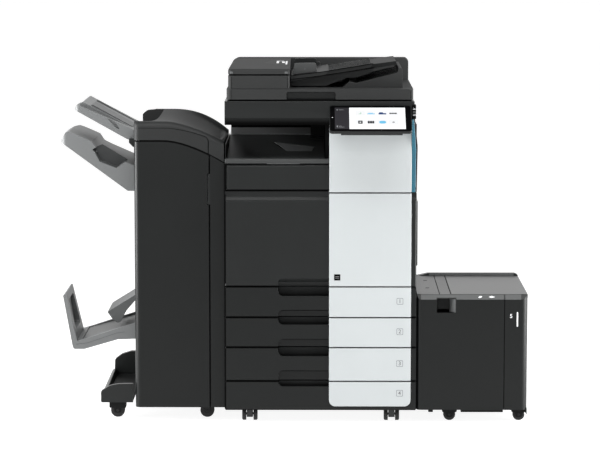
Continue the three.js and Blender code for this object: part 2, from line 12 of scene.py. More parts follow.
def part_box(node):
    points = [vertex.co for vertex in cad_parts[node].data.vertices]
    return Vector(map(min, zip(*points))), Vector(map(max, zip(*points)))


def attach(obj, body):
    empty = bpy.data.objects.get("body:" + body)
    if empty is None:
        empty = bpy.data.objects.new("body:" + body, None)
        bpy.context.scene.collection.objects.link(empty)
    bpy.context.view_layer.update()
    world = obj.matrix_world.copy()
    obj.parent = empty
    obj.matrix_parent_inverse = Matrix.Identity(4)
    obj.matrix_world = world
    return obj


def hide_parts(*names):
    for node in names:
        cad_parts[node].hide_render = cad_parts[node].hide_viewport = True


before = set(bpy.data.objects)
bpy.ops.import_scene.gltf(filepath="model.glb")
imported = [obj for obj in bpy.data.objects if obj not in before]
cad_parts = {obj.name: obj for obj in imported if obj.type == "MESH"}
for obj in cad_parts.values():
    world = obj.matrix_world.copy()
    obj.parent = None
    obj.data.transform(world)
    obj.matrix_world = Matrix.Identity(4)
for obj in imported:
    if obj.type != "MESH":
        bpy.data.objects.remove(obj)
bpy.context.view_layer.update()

MM = 0.001
MAIN_LEFT = -309
ORIGIN = Vector((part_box("left_cover")[0].x - MAIN_LEFT * MM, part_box("front_door")[0].y, 0))
Span = namedtuple("Span", "x0 x1 y0 y1 z0 z1")


def span(node):
    """A CAD node's box in the drawing's millimetres."""
    low, high = ((corner - ORIGIN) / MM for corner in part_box(node))
    return Span(low.x, high.x, low.y, high.y, low.z, high.z)


# ---------- tools for objects and shader nodes ----------


def add_object(name, data):
    obj = bpy.data.objects.new(name, data)
    bpy.context.scene.collection.objects.link(obj)
    return obj


def new_material(name):
    material = bpy.data.materials.new(name)
    material.use_nodes = True
    return material, material.node_tree, material.node_tree.nodes["Principled BSDF"]


def set_inputs(node, values):
    """Sets a node's own sockets by name."""
    for socket, value in values.items():
        node.inputs[socket].default_value = value
    return node


def new_node(tree, kind, values=None):
    return set_inputs(tree.nodes.new(f"ShaderNode{kind}"), values or {})


def spread(tree, source, from_low, from_high, to_low=0, to_high=1):
    """Carries a value over from one range to another."""
    ends = {"From Min": from_low, "From Max": from_high, "To Min": to_low, "To Max": to_high}
    reach = new_node(tree, "MapRange", ends)
    tree.links.new(source, reach.inputs["Value"])
    return reach.outputs["Result"]


# ---------- camera, floor and light ----------

CAMERA_LENS = 159.66
CAMERA_PLACE = (-9.5, -8502, 1651)
CAMERA_ANGLES = (83, 0, 0.38756)
FLOOR_REACH = 90
FLOOR_GLOW = 0.9
SKY_DIM = 0.12
SKY_BRIGHT = 1.25
KEY_POWER = 75
TOP_POWER = 120
SIDE_POWER = 225


def place_camera():
    data = bpy.data.cameras.new("camera")
    data.lens = CAMERA_LENS
    data.sensor_width = 36
    data.clip_end = 200
    camera = add_object("camera", data)
    camera.location = ORIGIN + Vector(CAMERA_PLACE) * MM
    camera.rotation_euler = [math.radians(angle) for angle in CAMERA_ANGLES]
    bpy.context.scene.camera = camera


def area_light(name, place, target, size, power):
    data = bpy.data.lights.new(name, "AREA")
    data.shape = "RECTANGLE"
    data.size, data.size_y = size
    data.energy = power
    light = add_object(name, data)
    light.location = place
    light.rotation_euler = (Vector(target) - Vector(place)).to_track_quat("-Z", "Y").to_euler()


def make_floor():
    mesh = bpy.data.meshes.new("floor")
    corners = [(x * FLOOR_REACH, y * FLOOR_REACH, 0) for x, y in ((-1, -1), (1, -1), (1, 1), (-1, 1))]
    mesh.from_pydata(corners, [], [(0, 1, 2, 3)])
    floor = add_object("floor", mesh)
    material, _, shader = new_material("pale_floor")
    set_inputs(shader, {"Base Color": (0.3, 0.3, 0.3, 1), "Roughness": 0.9, "Specular IOR Level": 0.1})
    set_inputs(shader, {"Emission Color": (1, 1, 1, 1), "Emission Strength": FLOOR_GLOW})
    mesh.materials.append(material)


def make_sky():
    """A sky that is bright low down behind the machine and dim above it and in front of it."""
    world = bpy.data.worlds.new("studio")
    world.use_nodes = True
    tree = world.node_tree
    lean = new_node(tree, "VectorMath")
    lean.operation = "DOT_PRODUCT"
    lean.inputs[1].default_value = (0, 0.75, -0.65)
    tree.links.new(new_node(tree, "TexCoord").outputs["Generated"], lean.inputs[0])
    sky = set_inputs(tree.nodes["Background"], {"Color": (1, 1, 1, 1)})
    level = spread(tree, lean.outputs["Value"], -0.25, 0.5, SKY_DIM, SKY_BRIGHT)
    tree.links.new(level, sky.inputs["Strength"])
    bpy.context.scene.world = world


def studio():
    make_floor()
    make_sky()
    area_light("key_light", (-1.4, -6.5, 2.7), (0, 0, 0.6), (4.0, 1.6), KEY_POWER)
    area_light("top_light", (0, -1.5, 3.6), (0, 0, 0.9), (3.8, 1.3), TOP_POWER)
    area_light("left_light", (-3.0, -0.5, 1.2), (-0.4, -0.3, 0.7), (1.8, 2.2), SIDE_POWER)
    area_light("right_light", (3.0, -0.5, 1.0), (0.4, -0.3, 0.4), (1.8, 2.0), SIDE_POWER)
    bpy.context.scene.view_settings.view_transform = "Standard"


# ---------- materials ----------


def noise(tree, scale, detail):
    texture = new_node(tree, "TexNoise", {"Scale": scale, "Detail": detail})
    tree.links.new(new_node(tree, "TexCoord").outputs["Object"], texture.inputs["Vector"])
    return texture


def varied(tree, source, low, high, socket):
    """Feeds a socket with a value between low and high that follows a noise texture."""
    tree.links.new(spread(tree, source.outputs["Fac"], 0.3, 0.7, low, high), socket)


def ramped(tree, source, stops, socket):
    """Feeds a colour socket from a ramp between two (place, colour) stops."""
    ramp = new_node(tree, "ValToRGB")
    for element, (place, colour) in zip(ramp.color_ramp.elements, stops):
        element.position = place
        element.color = (*colour, 1)
    tree.links.new(source, ramp.inputs["Fac"])
    tree.links.new(ramp.outputs["Color"], socket)


def tinted(tree, source, colour, drift, socket):
    """Feeds a colour socket with a colour that drifts a little darker and lighter with the noise."""
    stops = [(k, [v * f for v in colour]) for k, f in ((0.3, 1 - drift), (0.7, 1 + drift))]
    ramped(tree, source.outputs["Fac"], stops, socket)


def moulded(
    name, colour, roughness, grain=0.8, relief=0.25, drift=0.06, level=0.5, coat=0.0, metallic=0.0
):
    """Moulded plastic, painted metal or rubber: fine grain in mm, slow drift in colour and gloss."""
    material, tree, shader = new_material(name)
    slow = noise(tree, 7, 3)
    fine = noise(tree, 1 / (grain * MM), 3)
    tinted(tree, slow, colour, drift, shader.inputs["Base Color"])
    varied(tree, fine, roughness - 0.04, roughness + 0.04, shader.inputs["Roughness"])
    bump = new_node(tree, "Bump", {"Strength": relief, "Distance": 0.15 * MM})
    tree.links.new(fine.outputs["Fac"], bump.inputs["Height"])
    tree.links.new(bump.outputs["Normal"], shader.inputs["Normal"])
    set_inputs(shader, {"Specular IOR Level": level, "Coat Weight": coat, "Metallic": metallic})
    return material


def faded(name, light, dark, high, low):
    """Painted shade: plastic in two tones that run into each other between two heights, in millimetres,
    light at the high one and dark at the low one.
    """
    material, tree, shader = new_material(name)
    parts = new_node(tree, "SeparateXYZ")
    tree.links.new(new_node(tree, "TexCoord").outputs["Object"], parts.inputs["Vector"])
    height = spread(tree, parts.outputs["Z"], low * MM, high * MM)
    stops = [(k, (v, v * 1.05, v * 1.05)) for k, v in ((0, dark), (1, light))]
    ramped(tree, height, stops, shader.inputs["Base Color"])
    varied(tree, noise(tree, 900, 3), 0.6, 0.75, shader.inputs["Roughness"])
    set_inputs(shader, {"Specular IOR Level": 0.04})
    return material


def galvanised(name):
    """Zinc-coated sheet: crystal spangle in brightness and gloss."""
    material, tree, shader = new_material(name)
    spangle = new_node(tree, "TexVoronoi", {"Scale": 90})
    tree.links.new(new_node(tree, "TexCoord").outputs["Object"], spangle.inputs["Vector"])
    stops = [(k, (v, v * 1.02, v * 1.03)) for k, v in ((0, 0.36), (1, 0.5))]
    ramped(tree, spangle.outputs["Color"], stops, shader.inputs["Base Color"])
    varied(tree, noise(tree, 60, 2), 0.32, 0.5, shader.inputs["Roughness"])
    set_inputs(shader, {"Metallic": 0.85})
    return material


def lit(name, colour, drift=0.02):
    """A lit surface of the display, with the faint unevenness of a backlight."""
    material, tree, shader = new_material(name)
    glow = noise(tree, 12, 1)
    tinted(tree, glow, [0.12 * channel for channel in colour], drift, shader.inputs["Base Color"])
    tinted(tree, glow, colour, drift, shader.inputs["Emission Color"])
    set_inputs(shader, {"Emission Strength": 1.0, "Roughness": 0.45, "Specular IOR Level": 0.1})
    return material


def clear_glass(name):
    material, tree, shader = new_material(name)
    tinted(tree, noise(tree, 5, 2), (0.82, 0.9, 0.87), 0.03, shader.inputs["Base Color"])
    varied(tree, noise(tree, 30, 2), 0.02, 0.06, shader.inputs["Roughness"])
    set_inputs(shader, {"Transmission Weight": 0.85, "IOR": 1.5})
    return material


BLACK = moulded("black_plastic", (0.0068, 0.0077, 0.0076), 0.33, level=0.25)
BLACK_SOFT = moulded("black_plastic_soft", (0.0155, 0.0162, 0.0162), 0.75, level=0.26)
BLACK_IN = moulded("black_plastic_inside", (0.024, 0.0255, 0.0255), 0.5, level=0.4)
# a darker black, for dark parts such as the feeder's mark plate and the caster hoods, and as painted shade
# in hollows: the finisher foot's bed, the side tray's latch pocket and the band around the status light
BLACK_DARK_AND_SHADE = moulded("black_plastic_dark_and_shade", (0.0045, 0.005, 0.005), 0.6, level=0.16)
# near-black, for the label plate and the side port housing, and mostly as painted shade: strips and sheets
# in gaps, seams and hollows that stand in for the shade in them
BLACK_MATT_AND_SHADE = moulded("black_matt_and_shade", (0.002, 0.0021, 0.0021), 0.9, level=0.05)
# painted shade: a darker copy of the black plastic for the drawers, the finisher's door and case and the
# side tray, whose lower fronts take less light
BLACK_SHADED_LOW = moulded("black_plastic_shaded_low", (0.0046, 0.0053, 0.0052), 0.35, level=0.22)
# painted light: a lighter copy of the black plastic for the finisher's top cover and the document tray, for
# the light their upward faces catch
BLACK_LIT_TOP = moulded("black_plastic_lit_top", (0.0115, 0.0122, 0.0122), 0.6, level=0.25)
# painted shade: the band under the scanner's front, light at its top and near black at its foot, for the
# shade as it turns under
BAND_PAINTED_SHADE = faded("band_painted_shade", 0.0125, 0.0001, 992, 976)
BLACK_GLASS = moulded("black_glass", (0.0012, 0.0012, 0.0014), 0.2, grain=6, relief=0.02, level=0.03)
BLACK_GLOSS = moulded("black_gloss", (0.005, 0.005, 0.0055), 0.3, grain=6, relief=0.02, level=0.1)
WHITE = moulded("white_plastic", (0.41, 0.433, 0.438), 0.4, relief=0.12, drift=0.012, level=0.4)
GREY = moulded("grey_plastic", (0.115, 0.119, 0.12), 0.45, drift=0.03, level=0.4)
GREY_BAND = moulded("grey_band_plastic", (0.088, 0.091, 0.092), 0.5, drift=0.03, level=0.3)
GREY_MID = moulded("grey_mid_plastic", (0.07, 0.073, 0.074), 0.5, level=0.3)
GREY_DARK = moulded("grey_dark_plastic", (0.04, 0.042, 0.042), 0.45, level=0.4)
GREY_PRINT = moulded("grey_print", (0.12, 0.124, 0.128), 0.6, relief=0.05)
WHITE_PRINT = moulded("white_print", (0.7, 0.71, 0.72), 0.5, relief=0.05)
TEAL = moulded("teal_accent", (0.009, 0.1, 0.15), 0.25, grain=2, relief=0.05, drift=0.1, coat=0.25)
STEEL = galvanised("galvanised_steel")
BRIGHT = moulded("bright_metal", (0.55, 0.56, 0.57), 0.22, grain=3, relief=0.05, metallic=1.0)
PAINTED = moulded("black_paint", (0.014, 0.015, 0.015), 0.5, grain=1.2, relief=0.3)
GLASS = clear_glass("platen_glass_clear")
RUBBER = moulded("rubber", (0.012, 0.012, 0.012), 0.65, grain=1.5, relief=0.5, level=0.35)
BELT = moulded("belt_film", (0.01, 0.011, 0.013), 0.16, grain=8, relief=0.03, coat=0.3)
TONERS = {
    "yellow": moulded("toner_yellow", (0.72, 0.5, 0.02), 0.4),
    "magenta": moulded("toner_magenta", (0.46, 0.018, 0.11), 0.4),
    "cyan": moulded("toner_cyan", (0.01, 0.22, 0.45), 0.4),
    "black": moulded("toner_black", (0.015, 0.015, 0.016), 0.4),
}
SCREEN = lit("screen_white", (0.93, 0.95, 0.96))
SCREEN_BAR = lit("screen_bar", (0.025, 0.024, 0.028))
SCREEN_TILE = lit("screen_tile", (0.78, 0.79, 0.8))
SCREEN_DARK = lit("screen_dark", (0.004, 0.006, 0.01))
SCREEN_BLUE = lit("screen_blue", (0.14, 0.48, 0.72))
SCREEN_NAVY = lit("screen_navy", (0.01, 0.04, 0.15))
SCREEN_GREY = lit("screen_grey", (0.3, 0.31, 0.32))
SCREEN_GREEN = lit("screen_green", (0.2, 0.5, 0.3))


# ---------- mesh tools ----------


def outline(corners):
    """Points of a closed outline. A corner (u, v, radius) is rounded."""
    points = []
    for i, corner in enumerate(corners):
        here = Vector(corner[:2])
        radius = corner[2] if len(corner) > 2 else 0
        if radius <= 0:
            points.append(here)
            continue
        back = (Vector(corners[i - 1][:2]) - here).normalized()
        ahead = (Vector(corners[(i + 1) % len(corners)][:2]) - here).normalized()
        half = back.angle(ahead) / 2
        centre = here + (back + ahead).normalized() * (radius / math.sin(half))
        start = here + back * (radius / math.tan(half)) - centre
        end = here + ahead * (radius / math.tan(half)) - centre
        turn = math.atan2(start.x * end.y - start.y * end.x, start.dot(end))
        steps = max(2, min(12, round(abs(turn) * (1.5 + radius / 6))))
        for k in range(steps + 1):
            c, s = math.cos(turn * k / steps), math.sin(turn * k / steps)
            points.append(centre + Vector((start.x * c - start.y * s, start.x * s + start.y * c)))
    return points


def shape_of(mesh):
    bmesh.ops.recalc_face_normals(mesh, faces=mesh.faces)
    data = bpy.data.meshes.new("shape")
    mesh.to_mesh(data)
    mesh.free()
    return add_object("shape", data)


TO_SPACE = {
    "x": lambda u, v, w: (w, u, v),
    "y": lambda u, v, w: (u, w, v),
    "z": lambda u, v, w: (u, v, w),
}


def prism(axis, low, high, corners):
    """An outline drawn out along an axis: (y, z) along x, (x, z) along y, or (x, y) along z."""
    to_space = TO_SPACE[axis]
    points = outline(corners)
    return loft([[to_space(p.x, p.y, w) for p in points] for w in (low, high)])


def loft(sections):
    """A closed body through sections with the same number of points."""
    mesh = bmesh.new()
    rings = [[mesh.verts.new(p) for p in section] for section in sections]
    count = len(rings[0])
    for one, two in zip(rings, rings[1:]):
        for i in range(count):
            j = (i + 1) % count
            mesh.faces.new((one[i], one[j], two[j], two[i]))
    mesh.faces.new(rings[0][::-1])
    mesh.faces.new(rings[-1])
    return shape_of(mesh)


def rectangle(u0, u1, v0, v1, radius=0):
    """Corners of a rectangle, with one radius or four: low-low, high-low, high-high, low-high."""
    a, b, c, d = radius if isinstance(radius, (list, tuple)) else [radius] * 4
    return [(u0, v0, a), (u1, v0, b), (u1, v1, c), (u0, v1, d)]


def ribbon(line, one, two):
    """Outline of a strip that follows a line of (x, z) points, between two offsets in z."""
    return [(x, z + one) for x, z in line] + [(x, z + two) for x, z in reversed(line)]


def block(x0, x1, y0, y1, z0, z1, radius=0, axis="z"):
    sides = {
        "x": (x0, x1, rectangle(y0, y1, z0, z1, radius)),
        "y": (y0, y1, rectangle(x0, x1, z0, z1, radius)),
        "z": (z0, z1, rectangle(x0, x1, y0, y1, radius)),
    }
    return prism(axis, *sides[axis])


def blocks(spans):
    """Several separate boxes as one shape."""
    mesh = bmesh.new()
    for x0, x1, y0, y1, z0, z1 in spans:
        size = Matrix.Diagonal((x1 - x0, y1 - y0, z1 - z0, 1))
        middle = Matrix.Translation(((x0 + x1) / 2, (y0 + y1) / 2, (z0 + z1) / 2))
        bmesh.ops.create_cube(mesh, size=1, matrix=middle @ size)
    return shape_of(mesh)


def turned(axis, place, profile, sides=40):
    """A body turned about an axis through place, from (radius, along) points that start and end on it."""
    to_space = TO_SPACE[axis]
    mesh = bmesh.new()
    rings = []
    for radius, along in profile:
        if radius == 0:
            rings.append([mesh.verts.new(Vector(to_space(0, 0, along)) + Vector(place))])
            continue
        turns = [2 * math.pi * k / sides for k in range(sides)]
        ring = [to_space(radius * math.cos(t), radius * math.sin(t), along) for t in turns]
        rings.append([mesh.verts.new(Vector(p) + Vector(place)) for p in ring])
    for one, two in zip(rings, rings[1:]):
        for i in range(sides):
            j = (i + 1) % sides
            corners = [one[i % len(one)], one[j % len(one)], two[j % len(two)], two[i % len(two)]]
            mesh.faces.new(list(dict.fromkeys(corners)))
    return shape_of(mesh)


def disc(axis, place, radius, low, high, sides=32):
    return turned(axis, place, [(0, low), (radius, low), (radius, high), (0, high)], sides)


def combine(target, operation, tools):
    for tool in tools:
        step = target.modifiers.new("step", "BOOLEAN")
        step.operation = operation
        step.solver = "EXACT"
        step.object = tool
    graph = bpy.context.evaluated_depsgraph_get()
    data = bpy.data.meshes.new_from_object(target.evaluated_get(graph))
    target.modifiers.clear()
    target.data = data
    for tool in tools:
        bpy.data.objects.remove(tool)
    return target


def cut(target, *tools):
    return combine(target, "DIFFERENCE", tools)


def join(target, *tools):
    return combine(target, "UNION", tools)


def common(target, *tools):
    return combine(target, "INTERSECT", tools)


def moved(shape, matrix):
    shape.data.transform(matrix)
    return shape


def soften(obj, width, angle=32, segments=3):
    """Rounds every sharp edge by width, in millimetres."""
    bevel = obj.modifiers.new("bevel", "BEVEL")
    bevel.limit_method = "ANGLE"
    bevel.angle_limit = math.radians(angle)
    bevel.width = width * MM
    bevel.segments = segments
    bevel.use_clamp_overlap = True
    normals = obj.modifiers.new("normals", "WEIGHTED_NORMAL")
    normals.keep_sharp = True


def smooth(obj):
    obj.data.polygons.foreach_set("use_smooth", [True] * len(obj.data.polygons))


def piece(name, shape, material, edge=1.0, body="main", stands_for=(), angle=32):
    """Names a shape, moves it into the frame, finishes it and rides it on its body."""
    shape.name = name
    shape.data.name = name
    shape.data.transform(Matrix.Translation(ORIGIN) @ Matrix.Scale(MM, 4))
    shape.data.materials.clear()
    shape.data.materials.append(material)
    if edge:
        smooth(shape)
        soften(shape, edge, angle)
    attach(shape, body)
    if stands_for:
        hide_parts(*stands_for)
    return shape


def dress(node, material, edge=0.8):
    """Gives a CAD node that stays its material and rounded edges."""
    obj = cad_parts[node]
    if obj.material_slots:
        obj.material_slots[0].material = material
    else:
        obj.data.materials.append(material)
    smooth(obj)
    weld = obj.modifiers.new("weld", "WELD")
    weld.merge_threshold = 0.02 * MM
    flat = obj.modifiers.new("flat", "DECIMATE")
    flat.decimate_type = "DISSOLVE"
    flat.angle_limit = math.radians(1)
    if edge:
        soften(obj, edge)


def printed(name, text, height, x, y, z, material, body):
    """A raised generic character on a front face, height millimetres tall and centred on x, z."""
    data = bpy.data.curves.new(name, "FONT")
    data.body = text
    data.size = height * 1.4
    data.extrude = 0.2
    data.offset = 0.25
    data.align_x = "CENTER"
    data.align_y = "CENTER"
    source = add_object(name, data)
    graph = bpy.context.evaluated_depsgraph_get()
    mesh = bpy.data.meshes.new_from_object(source.evaluated_get(graph))
    bpy.data.objects.remove(source)
    upright = Matrix.Translation((x, y, z)) @ Matrix.Rotation(math.pi / 2, 4, "X")
    return piece(name, moved(add_object(name, mesh), upright), material, 0, body)


# ---------- main unit: doors, drawers and covers ----------

TONER_DOOR = span("toner_door")
FRONT_DOOR = span("front_door")
WHITE_DOOR = span("front_door_white_panel")
WHITE_COVER = span("upper_white_cover")
FIN = span("finisher_case")
LCC = span("lcc_case")
OUTPUT = span("output_tray")
SCANNER = span("scanner_body")
MAIN_RIGHT = 308
FRONT_THICK = TONER_DOOR.y1
BLACK_RIGHT = 26  # where the black fronts end
COLUMN_LEFT, COLUMN_RIGHT = 27, 291  # the white column beside them
HALF_SEAM = 0.75
SHADE_STRIP_RIGHT, SHADE_STRIP_BACK = 307.4, 25.8
CORNER = 13  # rounding of the toner door's left edge
OUTPUT_BACK = 499  # rear end of the output tray
FRONT_DIMPLE = 474.2  # upper edge of the front door's finger hollow
HANDLE_LEFT, HANDLE_RIGHT = -137.7, 26.6  # the drawers' finger pulls
PULL_HEIGHTS = (416.2, 323.1, 219.6, 120.5)  # lower edges of the pulls
DIMPLE_HEIGHTS = (371.1, 276.3, 172.7)  # upper edges of the hollows below the upper three
TRAYS = [f"tray_{number}" for number in range(1, 5)]


def rounded_front(x0, x1, z0, z1, left, right=2):
    """A thick front plate whose vertical front edges are rounded."""
    return prism("z", z0, z1, rectangle(x0, x1, 0, FRONT_THICK, [left, right, 0, 0]))


def make_toner_door():
    door = TONER_DOOR
    plate = rounded_front(door.x0, door.x1, door.z0, door.z1, CORNER)
    profile = [(0, door.z0), (0, door.z1, 9), (FRONT_THICK, door.z1), (FRONT_THICK, door.z0)]
    plate = common(plate, prism("x", door.x0 - 1, door.x1 + 1, profile))
    hollow = block(door.x0 + 9, door.x1 - 9, 8, FRONT_THICK + 1, door.z0 + 10, door.z1 - 12, 5, "y")
    piece("toner_door_shell", cut(plate, hollow), BLACK, 0.9, "toner_door", ["toner_door"])


def finger_dimple(bottom, top):
    """The sloping hollow above a seam that lets fingers reach the pull below it."""
    slope = [(-5, bottom - 5), (-5, top), (0, top), (13, top - 15, 5), (13, bottom - 5)]
    right = BLACK_RIGHT + 0.5
    face = rectangle(HANDLE_LEFT, right, bottom - 5, top, [0, 0, 0, 15])
    return common(prism("x", HANDLE_LEFT, right, slope), prism("y", -6, 20, face))


def make_front_door():
    door = FRONT_DOOR
    seam = WHITE_DOOR.z1
    band = door.z1 - 19
    plate = rounded_front(door.x0, door.x1, door.z0, door.z1, 5, 5)
    profile = [(0, door.z0), (0, band - 13, 12), (7, band, 8), (7, door.z1, 2)]
    profile += [(FRONT_THICK, door.z1), (FRONT_THICK, door.z0)]
    plate = common(plate, prism("x", door.x0 - 1, door.x1 + 1, profile))
    step = block(BLACK_RIGHT, door.x1 + 5, -5, FRONT_THICK + 5, seam, door.z1 + 5)
    hollow = block(door.x0 + 9, door.x1 - 9, 14, FRONT_THICK + 1, door.z0 + 40, seam - 14, 6, "y")
    plate = cut(plate, step, hollow, finger_dimple(door.z0, FRONT_DIMPLE))
    piece("front_door_shell", plate, BLACK, 0.9, "front_door", ["front_door"])
    column = rectangle(COLUMN_LEFT, COLUMN_RIGHT, door.z0 + 0.5, seam - 0.2, 1.5)
    piece("front_door_column", prism("y", -0.2, 10, column), BLACK, 0.5, "front_door")
    dress("front_door_white_panel", WHITE, 1.4)


def edge_lines():
    """Painted shade: dark lines around the black fronts, and a grey line along the top of each white panel,
    standing in for the shade in the gaps beside them.
    """
    rights = {"toner_door": BLACK_RIGHT, "front_door": BLACK_RIGHT} | {tray: MAIN_RIGHT for tray in TRAYS}
    for node, right in rights.items():
        front = span(node)
        is_door = node == "front_door"
        spans = []
        for z0 in (front.z0, front.z1 - 2.2):
            setback = 6.9 if is_door and z0 > front.z0 else 0
            spans.append((front.x0 + 3, right - 1, setback - 0.15, setback + 0.3, z0, z0 + 2.2))
        if node in TRAYS:
            beside = [(COLUMN_RIGHT, x1, *rest) for _, x1, *rest in spans]
            spans = [(x0, HANDLE_LEFT, *rest) for x0, _, *rest in spans] + beside
        bottom = front.z0 + (8 if is_door else 2)
        top = front.z1 - (12 if is_door else 2)
        spans.append((front.x0 - 0.05, front.x0 + 2.8, -0.12, 5, bottom, top))
        piece(f"{node}_seam_shade_lines", blocks(spans), BLACK_MATT_AND_SHADE, 0, node)
    for body in ("front_door", *TRAYS):
        node = f"{body}_white_panel"
        x0, x1, face, _, _, top = span(node)
        line = block(x0 + 3, x1 - 2, face - 0.12, face + 2, top - 1.1, top - 0.1)
        piece(f"{node}_seam_shade_lines", line, GREY_DARK, 0, body)


def make_seam_seals():
    """Painted shade: dark strips behind the gaps between doors and drawers, so that the gaps look as dark
    as the shade inside them.
    """
    left = MAIN_LEFT + 0.6
    shade_strips = []
    for tray in TRAYS:
        seam = span(tray).z1 + HALF_SEAM
        shade_strips.append((left, SHADE_STRIP_RIGHT, 24.3, SHADE_STRIP_BACK, seam - 4.4, seam + 4.4))
    black = (left, BLACK_RIGHT)
    for door, x0, x1 in ((FRONT_DOOR, *black), (WHITE_DOOR, COLUMN_LEFT, SHADE_STRIP_RIGHT), (TONER_DOOR, *black)):
        seam = door.z1 + HALF_SEAM
        shade_strips.append((x0, x1, FRONT_THICK + 0.4, SHADE_STRIP_BACK, seam - 5, seam + 5))
    piece("seam_shade_strips", blocks(shade_strips), BLACK_MATT_AND_SHADE, 0)
    # painted shade: near-black strips in the gaps beside the finisher and beside the side tray
    beside_finisher = (FIN.x1 + 0.1, MAIN_LEFT - 0.05, 2, 26, 46, 845)
    beside_lcc = (MAIN_RIGHT + 0.1, LCC.x0 - 0.1, 4, 60, 46, 404)
    piece("unit_gap_shade", blocks([beside_finisher, beside_lcc]), BLACK_MATT_AND_SHADE, 0)


def square(x, z, half, radius):
    return rectangle(x - half, x + half, z - half, z + half, radius)


def make_door_label():
    """A small generic symbol in place of the label at the foot of the white door."""
    x, z, size = 53, 478, 10
    face = WHITE_DOOR.y0
    plate = prism("y", face - 0.3, face + 0.3, square(x, z, size, 1.5))
    piece("door_symbol", plate, BLACK_MATT_AND_SHADE, 0, "front_door")
    bars = [(x - 6, x + 6, face - 0.5, face, z + k, z + k + 2) for k in (1.5, -3.5)]
    piece("door_symbol_bars", blocks(bars), GREY_PRINT, 0, "front_door")


def make_drawers():
    for number, name in enumerate(TRAYS, 1):
        dress(name, BLACK_SHADED_LOW, 1.0)
        dress(f"{name}_white_panel", WHITE, 1.4)
        pull = PULL_HEIGHTS[number - 1]
        top = span(name).z1 - 1
        shade = [(HANDLE_LEFT + 8, HANDLE_RIGHT, 11, 15.9, pull + 0.4, pull + 4)]
        shade.append((HANDLE_LEFT + 0.4, HANDLE_LEFT + 3, 11, 15.9, pull + 14, top))
        for dimple in DIMPLE_HEIGHTS[number - 1 : number]:
            shade.append((HANDLE_LEFT + 8, HANDLE_RIGHT, 9, 15.9, dimple - 3.2, dimple - 0.5))
        # painted shade: a plate at the back of each pull recess, darkening from the drawer's top down to
        # the pull, for the shade inside the recess
        back = block(HANDLE_LEFT + 2, HANDLE_RIGHT, 15.5, 16.2, pull + 0.5, top)
        recess_shade = faded(f"pull_painted_shade_{number}", 0.013, 0.0035, top, pull + 3)
        piece(f"{name}_pull_back", back, recess_shade, 0, name)
        piece(f"{name}_pull_shade", blocks(shade), BLACK_MATT_AND_SHADE, 0, name)
        panel = span(f"{name}_white_panel")
        face = panel.y0
        x, z, half = 255.5, (panel.z0 + panel.z1) / 2 + 3, 10.5
        ring = prism("y", face - 0.25, face + 0.3, square(x, z, half, 3))
        hole = prism("y", face - 2, face + 2, square(x, z, half - 1.3, 2.4))
        piece(f"{name}_badge", cut(ring, hole), GREY_PRINT, 0, name)
        printed(f"{name}_number", str(number), 12.5, x, face, z, GREY_PRINT, name)


def make_white_cover():
    low, high = WHITE_COVER.z0, WHITE_COVER.z1
    front = WHITE_DOOR.y0
    back = front + 12
    turn = 880
    lean = [(front, low), (front, turn, 90), (14, high), (26, high), (back, turn - 4, 90), (back, low)]
    plate = prism("x", COLUMN_LEFT + 0.3, COLUMN_RIGHT, lean)
    piece("upper_white_shell", plate, WHITE, 1.4, stands_for=["upper_white_cover"])
    backing = [(1, low), (1, turn, 90), (16, high), (30, high), (30, low)]
    piece("upper_column_core", prism("x", COLUMN_LEFT - 0.2, COLUMN_RIGHT + 0.4, backing), BLACK, 0.6)


def make_accent():
    """Teal trim and dark edge to the right of the white cover, drawn in towards the scanner."""
    low, high = WHITE_COVER.z0, SCANNER.z0 + 19
    teal = [(291.8, low), (303.5, low), (305, 895, 60), (298, high), (291.8, high)]
    piece("teal_trim", prism("y", 1, 26, teal), TEAL, 1.2)
    edge = [(303.8, low), (308.6, low), (311, 900, 120), (302, high), (298.4, high), (305.3, 895, 60)]
    piece("edge_trim", prism("y", 14, 95, edge), BLACK)
    piece("side_port_housing", block(291.5, 304.5, -4, 40, high + 1, high + 46, 2, "y"), BLACK_MATT_AND_SHADE, 0.8)
    inserts = [(294, 304.2, -5.4, -3, z, z + 3.6) for z in (high + 12, high + 31)]
    piece("side_port_inserts", blocks(inserts), BRIGHT, 0.4)
    piece("side_port_cover", block(294, 304, -5, -3, high + 19, high + 27, 1, "y"), GREY_DARK, 0.4)


